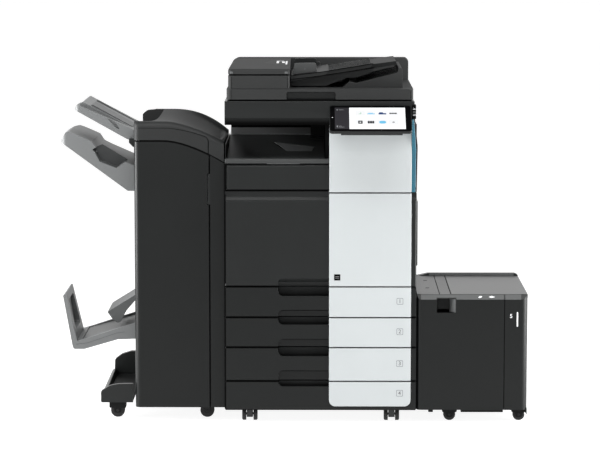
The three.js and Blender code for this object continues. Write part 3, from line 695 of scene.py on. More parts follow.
def make_output_tray():
    """Sloping floor with a raised lip and a finger recess, its walls, and the exit unit over it."""
    floor = [(0, OUTPUT.z0), (0, 858, 3), (5, 861, 3), (26, 860, 6), (45, 856, 12)]
    floor += [(OUTPUT_BACK, 898), (OUTPUT_BACK, OUTPUT.z0)]
    body = prism("x", OUTPUT.x0, COLUMN_LEFT, floor)
    recess = prism("z", 850, 930, [(-164, 360, 4), (-19, 266, 8), (-28, 189, 8), (-113, 189, 4)])
    piece("output_tray_floor", cut(body, recess), BLACK_IN, 0.9, stands_for=["output_tray"])
    # painted light: the ramp is lighter grey than the tray around it, for the light falling on it
    ramp = prism("z", 0, 1, [(-152, 346), (-22, 263), (-30, 193), (-110, 193)])
    for vertex in ramp.data.vertices:
        vertex.co.z += 866 + 0.115 * (vertex.co.y - 190)
    piece("output_finger_ramp", ramp, GREY, 0)
    wall = prism("y", 34, OUTPUT_BACK, [(-308.5, 846), (-308.5, 905, 2), (-306.5, 905, 1), (-306.5, 846)])
    piece("output_left_rim", wall, BLACK, 0.4)
    # painted light: the rear wall is lighter grey than the black around it, for the light falling on it
    stop = prism("x", -302, -30, [(494, 900), (494, 955), (499.5, 955), (499.5, 900)])
    piece("output_rear_wall", stop, GREY, 0.5)
    # painted shade: near-black sheets at the right side of the exit opening, which lies in shade under the
    # scanner
    cheek = blocks([(11, 26.7, 18, 24, 860, 968), (11, 13.5, 18, 326, 860, 968)])
    piece("output_right_cheek", cheek, BLACK_MATT_AND_SHADE, 0)
    piece("output_rear_shade", block(-302, -34, 493.2, 494.4, 922.5, 955), BLACK_MATT_AND_SHADE, 0)
    cap = [(326, 900), (326, 950, 10), (334, 968), (OUTPUT_BACK, 968), (OUTPUT_BACK, 900)]
    piece("exit_unit", prism("x", -34, BLACK_RIGHT, cap), BLACK_DARK_AND_SHADE, 1.2)
    piece("exit_flap", prism("x", -31, 24, [(318, 905), (320, 899), (327, 903), (327, 909)]), BLACK, 0.4)


def make_status_light():
    low, high = TONER_DOOR.z1 + 1, OUTPUT.z0 + 1.2
    # painted shade: the recess around the status light is drawn in the darker black for the shade in it
    piece("status_band", block(MAIN_LEFT + 1, 27, 6, 24, low - 0.2, high - 0.4), BLACK_DARK_AND_SHADE, 0.4)
    bar = block(-173, -67, 3, 12, low, high - 0.5, 1, "y")
    piece("status_light", bar, GREY, 0.3)


# ---------- scanner and operation panel ----------

PANEL_TILT = 28
PANEL_LEFT, PANEL_RIGHT, PANEL_DEPTH = 27, 287, 151
PANEL_PLACE = Matrix.Translation((0, -10, 1033)) @ Matrix.Rotation(math.radians(PANEL_TILT), 4, "X")


def on_panel(name, shape, material, edge=0):
    return piece(name, moved(shape, PANEL_PLACE), material, edge, "panel")


def screen_plate(name, plan, low, high, material):
    """A thin lit plate on the display, between two heights over the glass."""
    return on_panel(name, prism("z", low, high, plan), material)


def make_panel():
    depth = -PANEL_DEPTH
    housing = prism("z", -10, -1.2, rectangle(PANEL_LEFT, PANEL_RIGHT, depth, 0, 9))
    under = [(depth + 6, -9), (depth + 9, -22, 3), (-60, -27, 4), (-16, -27, 3), (-12, -9)]
    ears = []
    for x in (107, 195.5):
        ears.append(prism("x", x, x + 12.5, [(-28, -37), (-28, -20), (-12, -20), (-12, -37)]))
        ears.append(disc("x", (x, -20, -37), 8, 0, 12.5))
    housing = join(housing, prism("x", 63, 258, under), *ears)
    shell = on_panel("panel_shell", housing, BLACK, 1.4)
    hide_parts("panel_housing")
    glass = prism("z", -1.4, -0.3, rectangle(PANEL_LEFT + 2.4, PANEL_RIGHT - 1.6, depth + 2.4, -1.6, 7.4))
    on_panel("panel_glass", glass, BLACK_GLASS, 0.3)
    screen_plate("screen_area", rectangle(90, 268, -138, -12, 0.5), -0.5, -0.22, SCREEN)
    screen_plate("screen_sidebar", rectangle(44, 90, -138, -12, 0.5), -0.5, -0.22, SCREEN_BAR)
    on_panel("panel_lamp", disc("z", (36.5, -70, 0), 1.6, -0.5, -0.1, 20), SCREEN)


def bars_on_screen(name, spans, material):
    return on_panel(name, blocks([(*bar, -0.1, 0) for bar in spans]), material)


def make_screen_content():
    """Two rows of generic tiles, each with a plain symbol and a short line under it."""
    columns = [124.8, 159.3, 195.3, 229.8]
    rows = [-46, -98]
    for r, v in enumerate(rows, 1):
        for c, x in enumerate(columns, 1):
            plan = rectangle(x - 16, x + 16, v - 15, v + 15, 3)
            screen_plate(f"screen_tile_{r}_{c}", plan, -0.25, -0.12, SCREEN_TILE)
    lines = [(x - 7, x + 7, v - 23, v - 21.5) for v in rows for x in columns]
    bars_on_screen("screen_captions", lines, SCREEN_GREY)
    top, low = rows
    a, b, c, d = columns
    check = [(a - 5, a + 1, top - 4, top - 2), (a + 1, a + 3, top - 4, top + 5)]
    bars_on_screen("symbol_check", check, SCREEN_GREEN)
    fax = [(b - 12, b + 12, top - 5, top - 1), (b - 9, b + 6, top, top + 3)]
    bars_on_screen("symbol_fax", fax, SCREEN_BLUE)
    copy = [(c - 12, c + 12, top - 6, top + 1), (c - 10, c + 2, top + 1, top + 6)]
    bars_on_screen("symbol_copy", copy, SCREEN_NAVY)
    tools = [(d + k, d + k + 5.2, top - 3.5, top + 3.5) for k in (-12, -6, 0, 6)]
    bars_on_screen("symbol_tools", tools, SCREEN_DARK)
    camera = prism("z", -0.1, 0, rectangle(a - 7, a + 7, low - 9, low + 9, 2))
    on_panel("symbol_scan", cut(camera, disc("z", (a, low, 0), 3.2, -1, 1, 20)), SCREEN_DARK)
    strips = [(b + k, b + k + 6.2, low - 7, low + 7) for k in (-11, -4, 3)]
    bars_on_screen("symbol_drawer", strips, SCREEN_DARK)
    on_panel("symbol_gear", disc("z", (d, low, 0), 4, -0.1, 0, 20), SCREEN_GREY)
    screen_plate("symbol_cloud", rectangle(c - 11, c + 11, low - 8, low + 8, 7.5), -0.1, 0, SCREEN_BLUE)
    marks = [(50, 53, -28, -23), (56, 72, -26, -24.5)]
    marks += [(50, 53, -128, -118), (56, 66, -122, -120.5), (56, 74, -128, -126.5)]
    bars_on_screen("sidebar_marks", marks, SCREEN_GREY)


def make_scanner():
    dress("scanner_body", BLACK, 2.2)
    dress("platen_glass", GLASS, 0.4)
    dress("scan_carriage", STEEL, 0.8)
    low = SCANNER.z0
    # painted shade: this band's colour darkens downwards, standing in for the shade on the scanner's lower
    # front
    under = [(-0.3, 992.8), (7.4, low - 0.3), (29.4, low - 0.3)]
    under += [(29.4, low + 2), (9.4, low + 2), (1.0, 993.4)]
    piece("scanner_under_band", prism("x", MAIN_LEFT + 0.5, 299.5, under), BAND_PAINTED_SHADE, 0.3)
    top = SCANNER.z1
    piece("slit_scan_frame", block(-303, -255, 12, 548, top - 4, top + 0.3), GREY_DARK, 0.4)
    slit = block(-288, -272, 60, 500, top - 1, top + 0.45, 1)
    piece("slit_scan_glass", slit, BLACK_GLOSS, 0.2)


# ---------- document feeder ----------

ADF = span("adf_base")
COVER = span("adf_feed_cover")
FEED_TOP = COVER.z0 - 4.8
DECK_TOP = 1085
RIDGE_FRONT = 490
FEED_BLOCK_CORNERS = [14, 8, 0, 0]
TRAY_FRONT, TRAY_BACK = 72, 432


def roller_channel():
    return block(-165, -135, 60, TRAY_BACK, 1106, 1140)


def make_feeder_base():
    left, right, low = ADF.x0, ADF.x1, ADF.z0
    deck = prism("z", low + 4.6, DECK_TOP, rectangle(left, right, 0, ADF.y1, [14, 14, 12, 12]))
    grip = prism("y", -5, 16, rectangle(-110, 47, low - 6, 1076, [0, 0, 6, 6]))
    deck = cut(common(deck, block(left - 1, right + 1, -1, ADF.y1 + 1, low, DECK_TOP)), grip)
    piece("feeder_deck", deck, BLACK_SOFT, 1.8, "adf", ["adf_base"])
    # painted shade: near-black strips where the feeder's panels meet, for the shade in those joints
    joints = [(x, x + 1, -0.15, 1.5, low + 4, DECK_TOP - 3) for x in (-287.4, 288.6)]
    face = COVER.y0
    joints += [(x, x + 1, face - 0.15, face + 2, DECK_TOP + 3, FEED_TOP - 3) for x in (-287.4, -107.4)]
    piece("feeder_panel_lines", blocks(joints), BLACK_MATT_AND_SHADE, 0, "adf")
    plan = rectangle(COVER.x0, COVER.x1, face, RIDGE_FRONT + 2, FEED_BLOCK_CORNERS)
    housing = prism("z", DECK_TOP + 0.2, FEED_TOP, plan)
    piece("feeder_housing", cut(housing, roller_channel()), BLACK_SOFT, 1.2, "adf")
    ridge = rectangle(COVER.x0, right, DECK_TOP - 3, ADF.z1, [0, 0, 14, 24])
    piece("feeder_ridge", prism("y", RIDGE_FRONT, ADF.y1, ridge), BLACK_SOFT, 2.5, "adf")
    # painted shade: a near-black skirt behind the gap between scanner and deck, so the gap reads as shaded
    skirt = block(left + 8, right - 8, 6, ADF.y1 - 8, low - 0.3, low + 6)
    piece("feeder_deck_gap_shade", skirt, BLACK_MATT_AND_SHADE, 0, "adf")
    piece("feeder_grip_liner", block(-108, 45, 14.4, 16.5, low + 4, 1074), BLACK, 0.3, "adf")
    # painted shade: the neck in the gap under the feed cover is near black, for the shade in that gap
    neck = block(COVER.x0 + 6, COVER.x1 - 6, face + 9, RIDGE_FRONT, FEED_TOP - 4, FEED_TOP + 3)
    piece("feeder_neck", cut(neck, roller_channel()), BLACK_MATT_AND_SHADE, 0, "adf")
    pad = block(-285, 270, 20, 540, low - 0.4, low + 2, 8)
    piece("feeder_platen_pad", pad, WHITE, 0.3, "adf")


def make_exit_wedge():
    """Where copied originals come to rest: a ramp under the document tray, sunk between its rims."""
    foot = DECK_TOP - 1
    profile = [(69, foot), (92, 1105, 3), (112, 1100, 4), (247, 1134, 2)]
    profile += [(250, 1149, 2), (261, 1149, 3), (264, foot)]
    sunk = prism("y", 72, 420, [(116, 1096), (249, 1131.5), (249, 1160), (116, 1160)])
    piece("exit_ramp", cut(prism("y", 62, 430, profile), sunk), BLACK_SOFT, 0.9, "adf")
    rib = [(118, 1096), (248, 1130.5), (248, 1134.5), (118, 1099.5)]
    ribs = [prism("y", y, y + 4, rib) for y in range(110, 400, 70)]
    piece("exit_ramp_ribs", join(*ribs), BLACK, 0.3, "adf")


def make_feed_cover():
    left, right, front, back, low = COVER.x0, COVER.x1, COVER.y0, COVER.y1, COVER.z0
    crown = [(front, low), (front, low + 11, 4), (front + 12, 1149, 8), (210, 1153.5, 60)]
    crown += [(430, 1157), (back, 1157), (back, low)]
    plan = prism("z", low - 1, 1170, rectangle(left, right, front, back, FEED_BLOCK_CORNERS))
    side = prism("y", front - 1, back + 1, rectangle(left, right, low, 1157.5, [0, 0, 2, 16]))
    lid = common(common(prism("x", left, right, crown), plan), side)
    hollow = block(left + 5, right - 5, front + 6, back - 5, low - 5, 1142)
    piece("feed_cover_shell", cut(lid, hollow), BLACK_SOFT, 1.2, "adf_cover", ["adf_feed_cover"])
    clips = [(x, x + 9, front - 0.5, front + 8, low + 1.5, low + 8.5) for x in (left + 7, right - 15)]
    piece("feed_cover_clips", blocks(clips), GREY_MID, 0.8, "adf_cover")


def on_slanted_top(shape, lift):
    """Lays a flat shape on the feed cover's top, which rises from its front edge to the ridge."""
    for vertex in shape.data.vertices:
        vertex.co.z += 1149.5 + (vertex.co.y - 14) * 0.0195 + lift
    return shape


def make_feeder_mark():
    """A dark plate on the feed cover with plain silver strokes that show how sheets go in."""
    corners = [(-190, 250, 12), (-108, 120, 20), (-104, 330, 10), (-150, 400, 20)]
    plate = on_slanted_top(prism("z", 0, 0.5, corners), -0.2)
    piece("feeder_mark_plate", plate, BLACK_DARK_AND_SHADE, 0.3, "adf_cover")
    strokes = [(-146, -138, 230, 330), (-138, -122, 318, 330)]
    strokes += [(-128, -118, 240, 300), (-116, -110, 180, 320)]
    marks = on_slanted_top(blocks([(*stroke, 0, 0.5) for stroke in strokes]), 0.7)
    piece("feeder_mark_strokes", marks, BRIGHT, 0, "adf_cover")


def make_document_tray():
    """Tray that originals lie on: entry plate, sloping plate with rims, extension and lower body."""
    lip = [(-97, 1106), (6, 1122.5, 8), (22, 1133), (20, 1139, 3), (-12, 1134), (-97, 1124, 2)]
    slope = [(6, 1123, 3), (160, 1149), (168, 1163, 3), (116, 1153.5, 10), (18, 1139.5, 3)]
    lower = [(-96, 1089.5, 4), (13, 1089.5, 8), (82, 1115.5, 6), (113, 1117, 8)]
    lower += [(158, 1131), (176, 1147), (0, 1121), (-96, 1107)]
    shell = join(
        prism("y", TRAY_FRONT, TRAY_BACK, lip),
        prism("y", TRAY_FRONT + 4, TRAY_BACK - 2, slope),
        prism("y", TRAY_FRONT + 14, TRAY_BACK - 14, lower),
    )
    sunk = prism("y", TRAY_FRONT + 9, TRAY_BACK - 8, [(24, 1137), (164, 1159.5), (164, 1175), (24, 1175)])
    piece("document_tray_shell", cut(shell, sunk), BLACK_LIT_TOP, 1.0, "adf_tray", ["adf_document_tray"])
    extension = [(120, 1139), (246, 1158, 2), (242, 1169.5, 2), (158, 1158.5)]
    flap = prism("y", TRAY_FRONT + 26, TRAY_BACK - 26, extension)
    piece("document_tray_extension", flap, BLACK_DARK_AND_SHADE, 1.0, "adf_tray")
    # painted shade: near-black strips along the tray's front edge, for the shadow and gap under its plates
    edge = [(-96, 1124.6), (-12, 1134.6), (20, 1139.6), (116, 1154.1), (168, 1163.6)]
    strips = [ribbon(edge, -near, -far) for near, far in ((0, 2.2), (12, 15))]
    shadow_strips = [prism("y", TRAY_FRONT - 0.5, TRAY_FRONT + 5, strip) for strip in strips]
    piece("document_tray_shadow_lines", join(*shadow_strips), BLACK_MATT_AND_SHADE, 0.3, "adf_tray")
    rib = [(26, 1137), (162, 1159), (162, 1161.5), (26, 1139.5)]
    ribs = [prism("y", y, y + 3, rib) for y in range(120, 420, 60)]
    piece("document_tray_ribs", join(*ribs), BLACK, 0.3, "adf_tray")


def make_guides():
    face = [(-92, 1126, 2), (-12, 1136.2, 2), (-17, 1163, 5), (-85, 1162, 5)]
    foot = [(-90, 1126.6), (-14, 1136.2), (-14, 1139), (-90, 1129.4)]
    # painted light: the front guide is lighter grey than the rear one, for the light it catches while the
    # rear guide is in shade
    for side, material in (("front", GREY_DARK), ("rear", BLACK)):
        body, node = f"{side}_guide", f"adf_{side}_guide"
        place = span(node)
        if side == "front":
            outer, foot_span, dot_span = place.y0, (place.y1 - 1, place.y1 + 22), (-0.4, 0.6)
        else:
            outer, foot_span, dot_span = place.y1, (place.y0 - 22, place.y0 + 1), (-0.6, 0.4)
        shape = join(prism("y", place.y0, place.y1, face), prism("y", *foot_span, foot))
        piece(f"{node}_shell", shape, material, 1.2, body, [node])
        dot = disc("y", (-52, outer, 1143), 3, *dot_span, 20)
        piece(f"{node}_dot", dot, GREY_MID, 0, body)
    knob = turned("z", (-7, 401, 1140), [(0, 0), (5, 0), (5, 8), (3.5, 10), (0, 10)], 24)
    piece("rear_guide_knob", knob, BLACK, 0.4, "rear_guide")
    dress("adf_feed_roller", RUBBER, 0.6)


# ---------- finisher ----------

FIN_DOOR = span("finisher_front_door")
FIN_FRONT = 30
FIN_STRIP_LEFT = -357
FIN_ROUND = 19
BEND_LEFT, BEND_RIGHT = -502, -311.5


def bend(flat, drop, x):
    """Height of a line that is level at the left of the finisher and bends down to the right."""
    return flat - drop * max(0.0, (x - BEND_LEFT) / (BEND_RIGHT - BEND_LEFT)) ** 1.6


def seam_height(x):
    return bend(916, 71.5, x)


def top_height(x):
    return bend(978, 66, x)


def steps_between(low, high, count):
    return [low + (high - low) * k / count for k in range(count + 1)]


def make_finisher_door():
    left, right, front, back, low = FIN_DOOR.x0, FIN_DOOR.x1, FIN_DOOR.y0, FIN_DOOR.y1, FIN_DOOR.z0
    plan = rectangle(left, right - 1.2, front, back, [FIN_ROUND, 2, 0, 0])
    curve = [(x, seam_height(x) - 3.2) for x in steps_between(left - 1, right + 1, 30)]
    face = [(left - 1, low), *curve, (right + 1, low)]
    shape = common(prism("z", low, 930, plan), prism("y", front - 1, back + 1, face))
    pull = prism("y", front - 5, back + 5, rectangle(right - 7, right + 6, 708, 811, [3, 0, 0, 3]))
    hollow = block(left + 12, right - 20, front + 8, back + 9, low + 15, 850)
    shell = cut(shape, pull, hollow)
    piece("finisher_door_shell", shell, BLACK_SHADED_LOW, 1.0, "finisher_door", ["finisher_front_door"])
    dress("finisher_case", BLACK_SHADED_LOW, 1.0)
    # painted shade: near-black strips behind the seam under the top cover and the gaps beside the door's
    # narrow strip
    seam = [(x, seam_height(x)) for x in steps_between(left + 4, FIN.x1 - 2, 30)]
    piece("finisher_seam_shade_strip", prism("y", front + 5, back - 2, ribbon(seam, 0.7, -2.9)), BLACK_MATT_AND_SHADE, 0)
    top = seam_height(FIN_STRIP_LEFT) - 3
    across = (right - 0.9, FIN_STRIP_LEFT + 0.2, front + 5, back - 2)
    gaps = [(*across, low, 709), (*across, 810, top)]
    piece("finisher_side_shade_strips", blocks(gaps), BLACK_MATT_AND_SHADE, 0)
    catch = rectangle(right - 5.2, FIN_STRIP_LEFT + 0.4, 709.8, 809.2, [2, 0, 0, 2])
    piece("finisher_door_catch", prism("y", front, back, catch), BLACK, 0.6)


def smooth_step(value, low, high):
    t = min(1.0, max(0.0, (value - low) / (high - low)))
    return t * t * (3 - 2 * t)


def finisher_section(x):
    """The top cover's outline in (y, z) at x: front face, rounded shoulder, dish, rear rim."""
    top, low = top_height(x), seam_height(x) + 1.0
    left = min(x - FIN.x0, FIN_ROUND)
    inset = FIN_ROUND - math.sqrt(FIN_ROUND**2 - (FIN_ROUND - left) ** 2)
    front, back = FIN_FRONT + inset, 531
    depth = 3 + (6 + 17 * smooth_step(x, -530, -400)) * smooth_step(FIN.x1 - x, 8, 26)
    rear = 985 - 72 * max(0.0, (x - BEND_LEFT) / (BEND_RIGHT - BEND_LEFT)) ** 2.3
    flat = max(low + 3, top - 21)
    rim = [(front, low), (front, flat)]
    for turn in range(15, 91, 15):
        angle = math.radians(turn)
        rim.append((front + 22 * (1 - math.cos(angle)), flat + (top - flat) * math.sin(angle)))
    rise = rear - 0.6 - 11 * smooth_step(x, -490, -340) - top
    dish = []
    for k in range(13):
        t = k / 12.2
        y = front + 30 + (458 - front) * t
        dish.append((y, top + rise * t * t - depth * math.sin(t * math.pi)))
    end = [(490, rear - 0.6), (500, rear), (516, rear - 1), (526, rear - 6)]
    end += [(back, rear - 15), (back, low)]
    return [(x, y, z) for y, z in rim + dish + end]


def make_finisher_top():
    outer = FIN.x0 - 5
    places = [FIN.x0 + d for d in (0.3, 1.5, 4, 8, 12, 17)] + steps_between(FIN.x0 + 24, FIN.x1 - 28, 30)
    places += [FIN.x1 - d for d in (24, 20, 16, 12, 8, 4, 1)]
    shape = loft([finisher_section(x) for x in places])
    mouth = prism("z", 944, 1000, [(outer, 66), (-548, 66, 4), (-537, 300), (-530, 486), (outer, 486)])
    corner = [(outer, 950), (outer, 990), (-560, 990), (-560, 983), (-588, 980, 20)]
    corner += [(FIN.x0, 968, 8), (FIN.x0, 950)]
    shape = cut(cut(shape, mouth), prism("y", 480, 540, corner))
    piece("finisher_top_shell", shape, BLACK_LIT_TOP, 1.2, "finisher_top", ["finisher_top_cover"], angle=38)
    # the front face's upper edge, which turns down beside the narrow strip on the right, drawn as a
    # near-black line of painted shade
    run = [(x, min(958, bend(958, 50, x))) for x in steps_between(FIN.x0 + 16, FIN_STRIP_LEFT - 12, 24)]
    turn = bend(958, 50, FIN_STRIP_LEFT) - 8
    foot = seam_height(FIN_STRIP_LEFT - 7) + 1
    line = run + [(FIN_STRIP_LEFT - 4, turn, 8), (FIN_STRIP_LEFT - 4, foot)]
    line += [(FIN_STRIP_LEFT - 7, foot), (FIN_STRIP_LEFT - 7, turn - 1, 7)]
    line += [(x, z - 1.3) for x, z in reversed(run)]
    line = prism("y", FIN_FRONT - 0.2, FIN_FRONT + 1, line)
    piece("finisher_top_line", line, BLACK_MATT_AND_SHADE, 0, "finisher_top")
    places = steps_between(FIN.x0 + FIN_ROUND, FIN.x1 - 2, 12)
    shades = (("finisher_top", 1, 2.8, FIN.x1), ("finisher_door", -3.4, -0.6, FIN_STRIP_LEFT))
    for body, low, high, end in shades:
        seam = [(x, seam_height(x)) for x in places if x < end]
        shade = prism("y", FIN_FRONT - 0.15, FIN_FRONT + 1, ribbon(seam, high, low))
        piece(f"{body}_seam_shade", shade, BLACK_MATT_AND_SHADE, 0, body)


def make_finisher_hook():
    hook = [(-603.4, 921), (-620, 921, 2), (-620, 908, 3), (-607, 894), (-603.4, 894)]
    piece("finisher_exit_hook", prism("y", 58, 86, hook), BLACK, 0.8)


def stacking_tray(tray, side, heights, near, far, recede):
    """A tray with this side outline in (x, z), whose outer end draws back by recede towards the rear."""
    left, right, front, back = tray.x0, tray.x1, tray.y0, tray.y1
    plan = [(right, front), (right, back), (left + recede + 8, back, far)]
    plan += [(left + recede * 0.6, front + 150, 60), (left, front, near)]
    return common(prism("y", front, back, side), prism("z", *heights, plan))


def make_upper_tray():
    tray = span("finisher_upper_tray")
    root, front, back = tray.x1, tray.y0, tray.y1
    side = [(root, 946), (-792, 1029, 6), (-798.5, 1012, 6), (-627, 916, 4), (root, 912)]
    shape = stacking_tray(tray, side, (900, 1040), 16, 24, 22)
    under = prism("y", front + 6, back - 6, [(root - 4, 936), (-770, 1010), (-770, 900), (root - 4, 900)])
    dent = [(-695, 988, 2), (-673, 980, 3), (-644, 941, 3), (-666, 955, 2)]
    shape = cut(shape, under, prism("y", front - 5, front + 5.5, dent))
    peak_x, peak_z = -774, 1034.4
    raised = [(root - 1, 945), (peak_x, peak_z, 3), (-787, 1026, 4), (-627, 934)]
    shape = join(shape, prism("y", front + 42, back, raised))
    piece("upper_tray_shell", shape, GREY, 1.4, stands_for=["finisher_upper_tray"])
    rise = (peak_z - 945) / (peak_x - root)
    x0, x1 = -752, root - 10
    z0, z1 = 945 + (x0 - root) * rise, 945 + (x1 - root) * rise
    band = [(x0, z0 - 2), (x0 + 8, z0 + 1.4), (x1, z1 + 2.2), (x1, z1 - 2)]
    ribs = [prism("y", *ends, band) for ends in ((front + 66, front + 190), (back - 60, back - 54))]
    piece("upper_tray_ribs", join(*ribs), GREY_BAND, 0.8)


def make_lower_tray():
    tray = span("finisher_lower_tray")
    root, front, back = tray.x1, tray.y0, tray.y1
    side = [(root, 830), (-700, 872, 8), (-728, 886, 8), (-742, 908, 10), (-818, 941, 6)]
    side += [(-828, 938, 4), (-845, 908, 6), (-627, 748, 8), (root, 748)]
    under = [(root - 5, 815), (-700, 858), (-800, 905), (-800, 700), (root - 5, 700)]
    reach = [(-741, 884, 3), (-712, 896), (-630, 846), (-663, 822, 6), (-717, 843, 8), (-733, 872, 3)]
    floor = [(-733, 866), (-718, 838), (-663, 817), (-636, 836)]
    floor += [(-636, 843), (-663, 823), (-716, 844), (-731, 872)]
    wall = [(-741, 884), (-712, 896), (-630, 846), (-640, 820), (-663, 812), (-717, 833), (-737, 868)]
    shape = cut(
        stacking_tray(tray, side, (700, 1000), 18, 26, 30),
        prism("y", front + 6, back - 6, under),
        prism("y", front - 5, front + 52, reach),
    )
    looks = (
        ("shell", shape, GREY, 1.4, ["finisher_lower_tray"]),
        ("reach_wall", prism("y", front + 50, front + 54, wall), GREY_MID, 0.8, ()),
        ("reach_floor", prism("y", front + 2, front + 58, floor), GREY_MID, 0.8, ()),
    )
    for name, part, material, edge, node in looks:
        piece("lower_tray_" + name, part, material, edge, "finisher_lower_tray", node)


def make_booklet_tray():
    root = span("booklet_tray").x1
    bed = [(root, 315), (root, 262, 3), (-664, 260, 10), (-773, 228, 12), (-809, 228, 8)]
    bed += [(-814, 250, 4), (-770, 262), (-665, 296, 10)]
    base = prism("y", 90, 380, bed)
    sunk = [(root - 6, 335), (-664, 306), (-780, 262), (-780, 256), (-664, 288), (root - 6, 306)]
    stop = prism("y", 90, 348, [(-812, 240), (-841, 404, 3), (-834, 411, 3), (-796, 252)])
    window = prism("x", -850, -780, rectangle(144, 304, 286, 384, 8))
    shape = join(cut(base, prism("y", 104, 366, sunk)), cut(stop, window))
    piece("booklet_tray_shell", shape, GREY, 1.4, stands_for=["booklet_tray"])
    edge = [(-800, 243), (-764, 247), (-668, 280), (-640, 284)]
    groove = prism("y", 89.7, 92, ribbon(edge, 0, 1.6))
    piece("booklet_tray_groove", groove, GREY_MID, 0)
    back = prism("y", 128, 312, [(-822, 283), (-839.5, 386), (-837.5, 386), (-820, 283)])
    piece("booklet_stop_panel", back, GREY_MID, 0.3)


def make_booklet_flap():
    flap = span("booklet_flap")
    root = flap.x1
    cheek = [(root, 401), (-700, 343, 3), (-686, 322, 4), (-668, 306, 5), (-655, 312, 4)]
    cheek += [(-640, 345, 8), (root, 384)]
    cheeks = [prism("y", y, y + 8, cheek) for y in (flap.y0, flap.y1 - 8)]
    plate = prism("y", flap.y0, flap.y1, [(root, 401), (-700, 343), (-698, 338), (root, 394)])
    shape = join(plate, *cheeks)
    # painted shade: the flap is darker grey than the trays, to offset the light its upward face catches
    body = "booklet_flap"
    piece("booklet_flap_shell", shape, GREY_MID, 1.0, body, [body])


def fork(x, y, radius, top):
    """The hood and cheeks that hold a caster wheel of this radius."""
    reach = radius + 4.5
    hood = block(x - reach, x + reach, y - 14.5, y + 14.5, radius + 8, top, 4, "y")
    cheek = [(x - 14, top), (x - 11, radius - 8, 6), (x + 11, radius - 8, 6), (x + 14, top)]
    cheeks = [prism("y", y + k, y + k + 3.5, cheek) for k in (-14.5, 11)]
    bore = disc("y", (x, y, radius), 4.7, -30, 30)
    return cut(join(hood, *cheeks), disc("y", (x, y, radius), radius + 1.6, -10.8, 10.8), bore)


def make_foot():
    foot = span("finisher_foot")
    left, right, front, back = foot.x0, foot.x1, foot.y0, foot.y1
    rim = [(left, 60, 4), (left, 98, 10), (left + 30, 116, 20), (left + 58, 121, 30)]
    rim += [(right, 122), (right, 60)]
    rear = [(left + 8, 60), (left + 10, 122, 10), (left + 34, 140, 16), (left + 66, 150, 20)]
    rear += [(right, 151), (right, 60)]
    side = [(left, 60), (left, 84, 6), (left + 12, 88, 4), (left + 20, 74), (left + 20, 60)]
    shape = join(
        prism("y", front, front + 15, rim),
        prism("y", back - 22, back, rear),
        prism("y", front + 10, back - 10, side),
    )
    shape = cut(shape, block(right - 8, right + 5, front - 5, 70, 40, 150))
    piece("finisher_foot_shell", shape, BLACK, 1.4, stands_for=["finisher_foot"])
    # painted shade: the bed between the foot's rims is the darker black, for the shade it lies in
    bed = block(left + 16, right - 8.5, front + 14, back - 20, 60.5, 72)
    piece("finisher_foot_bed", bed, BLACK_DARK_AND_SHADE, 0.8)
    for place, y in (("front", 112), ("rear", 470)):
        piece(f"finisher_fork_{place}", fork(-666, y, 23, 62), BLACK_DARK_AND_SHADE, 0.6)


# ---------- large-capacity tray ----------

LCC_LID = span("lcc_lid")
LCC_TOP = LCC_LID.z1
LCC_LOW = 44
LCC_FRONT_TOP = 404.5  # where the front face ends and its slanted edge begins
LCC_BEVEL = 12  # how far back the slanted edge reaches
LCC_BACK = 448.8  # where the top steps up at the rear


def lcc_openings():
    """What is cut out of the side tray's case: room inside, lid seat, latch, steps and seams."""
    left, right, rear, top = LCC.x0, LCC.x1, LCC.y1, LCC.z1
    lid = LCC_LID
    latch = [(375, -5), (437, -5), (437, 0), (416, 23), (375, 23)]
    slope = [(left - 5, 418), (328, 420.8), (365, top, 6), (365, 440), (left - 5, 440)]
    fall = [(657, top + 0.1), (right - 1, top - 4, 6), (right + 5, 410), (right + 5, 440), (657, 440)]
    return [
        block(left + 18, right - 14, 22, rear - 14, 56, 396),
        block(lid.x0 - 0.8, right + 5, lid.y0 - 0.6, lid.y1 + 0.6, lid.z0 - 0.6, LCC_TOP + 20),
        block(lid.x0 + 10, right - 14, 30, lid.y1 - 12, 380, LCC_TOP + 5),
        prism("z", 362, 409, latch),
        prism("y", LCC_BACK + 0.7, rear + 5, slope),
        prism("y", LCC_BACK + 0.7, rear + 5, fall),
        block(592.3, 594.9, -5, 2, 40, 408),
        block(382.8, 385.4, 13, 447, LCC_TOP - 2, LCC_TOP + 5),
    ]


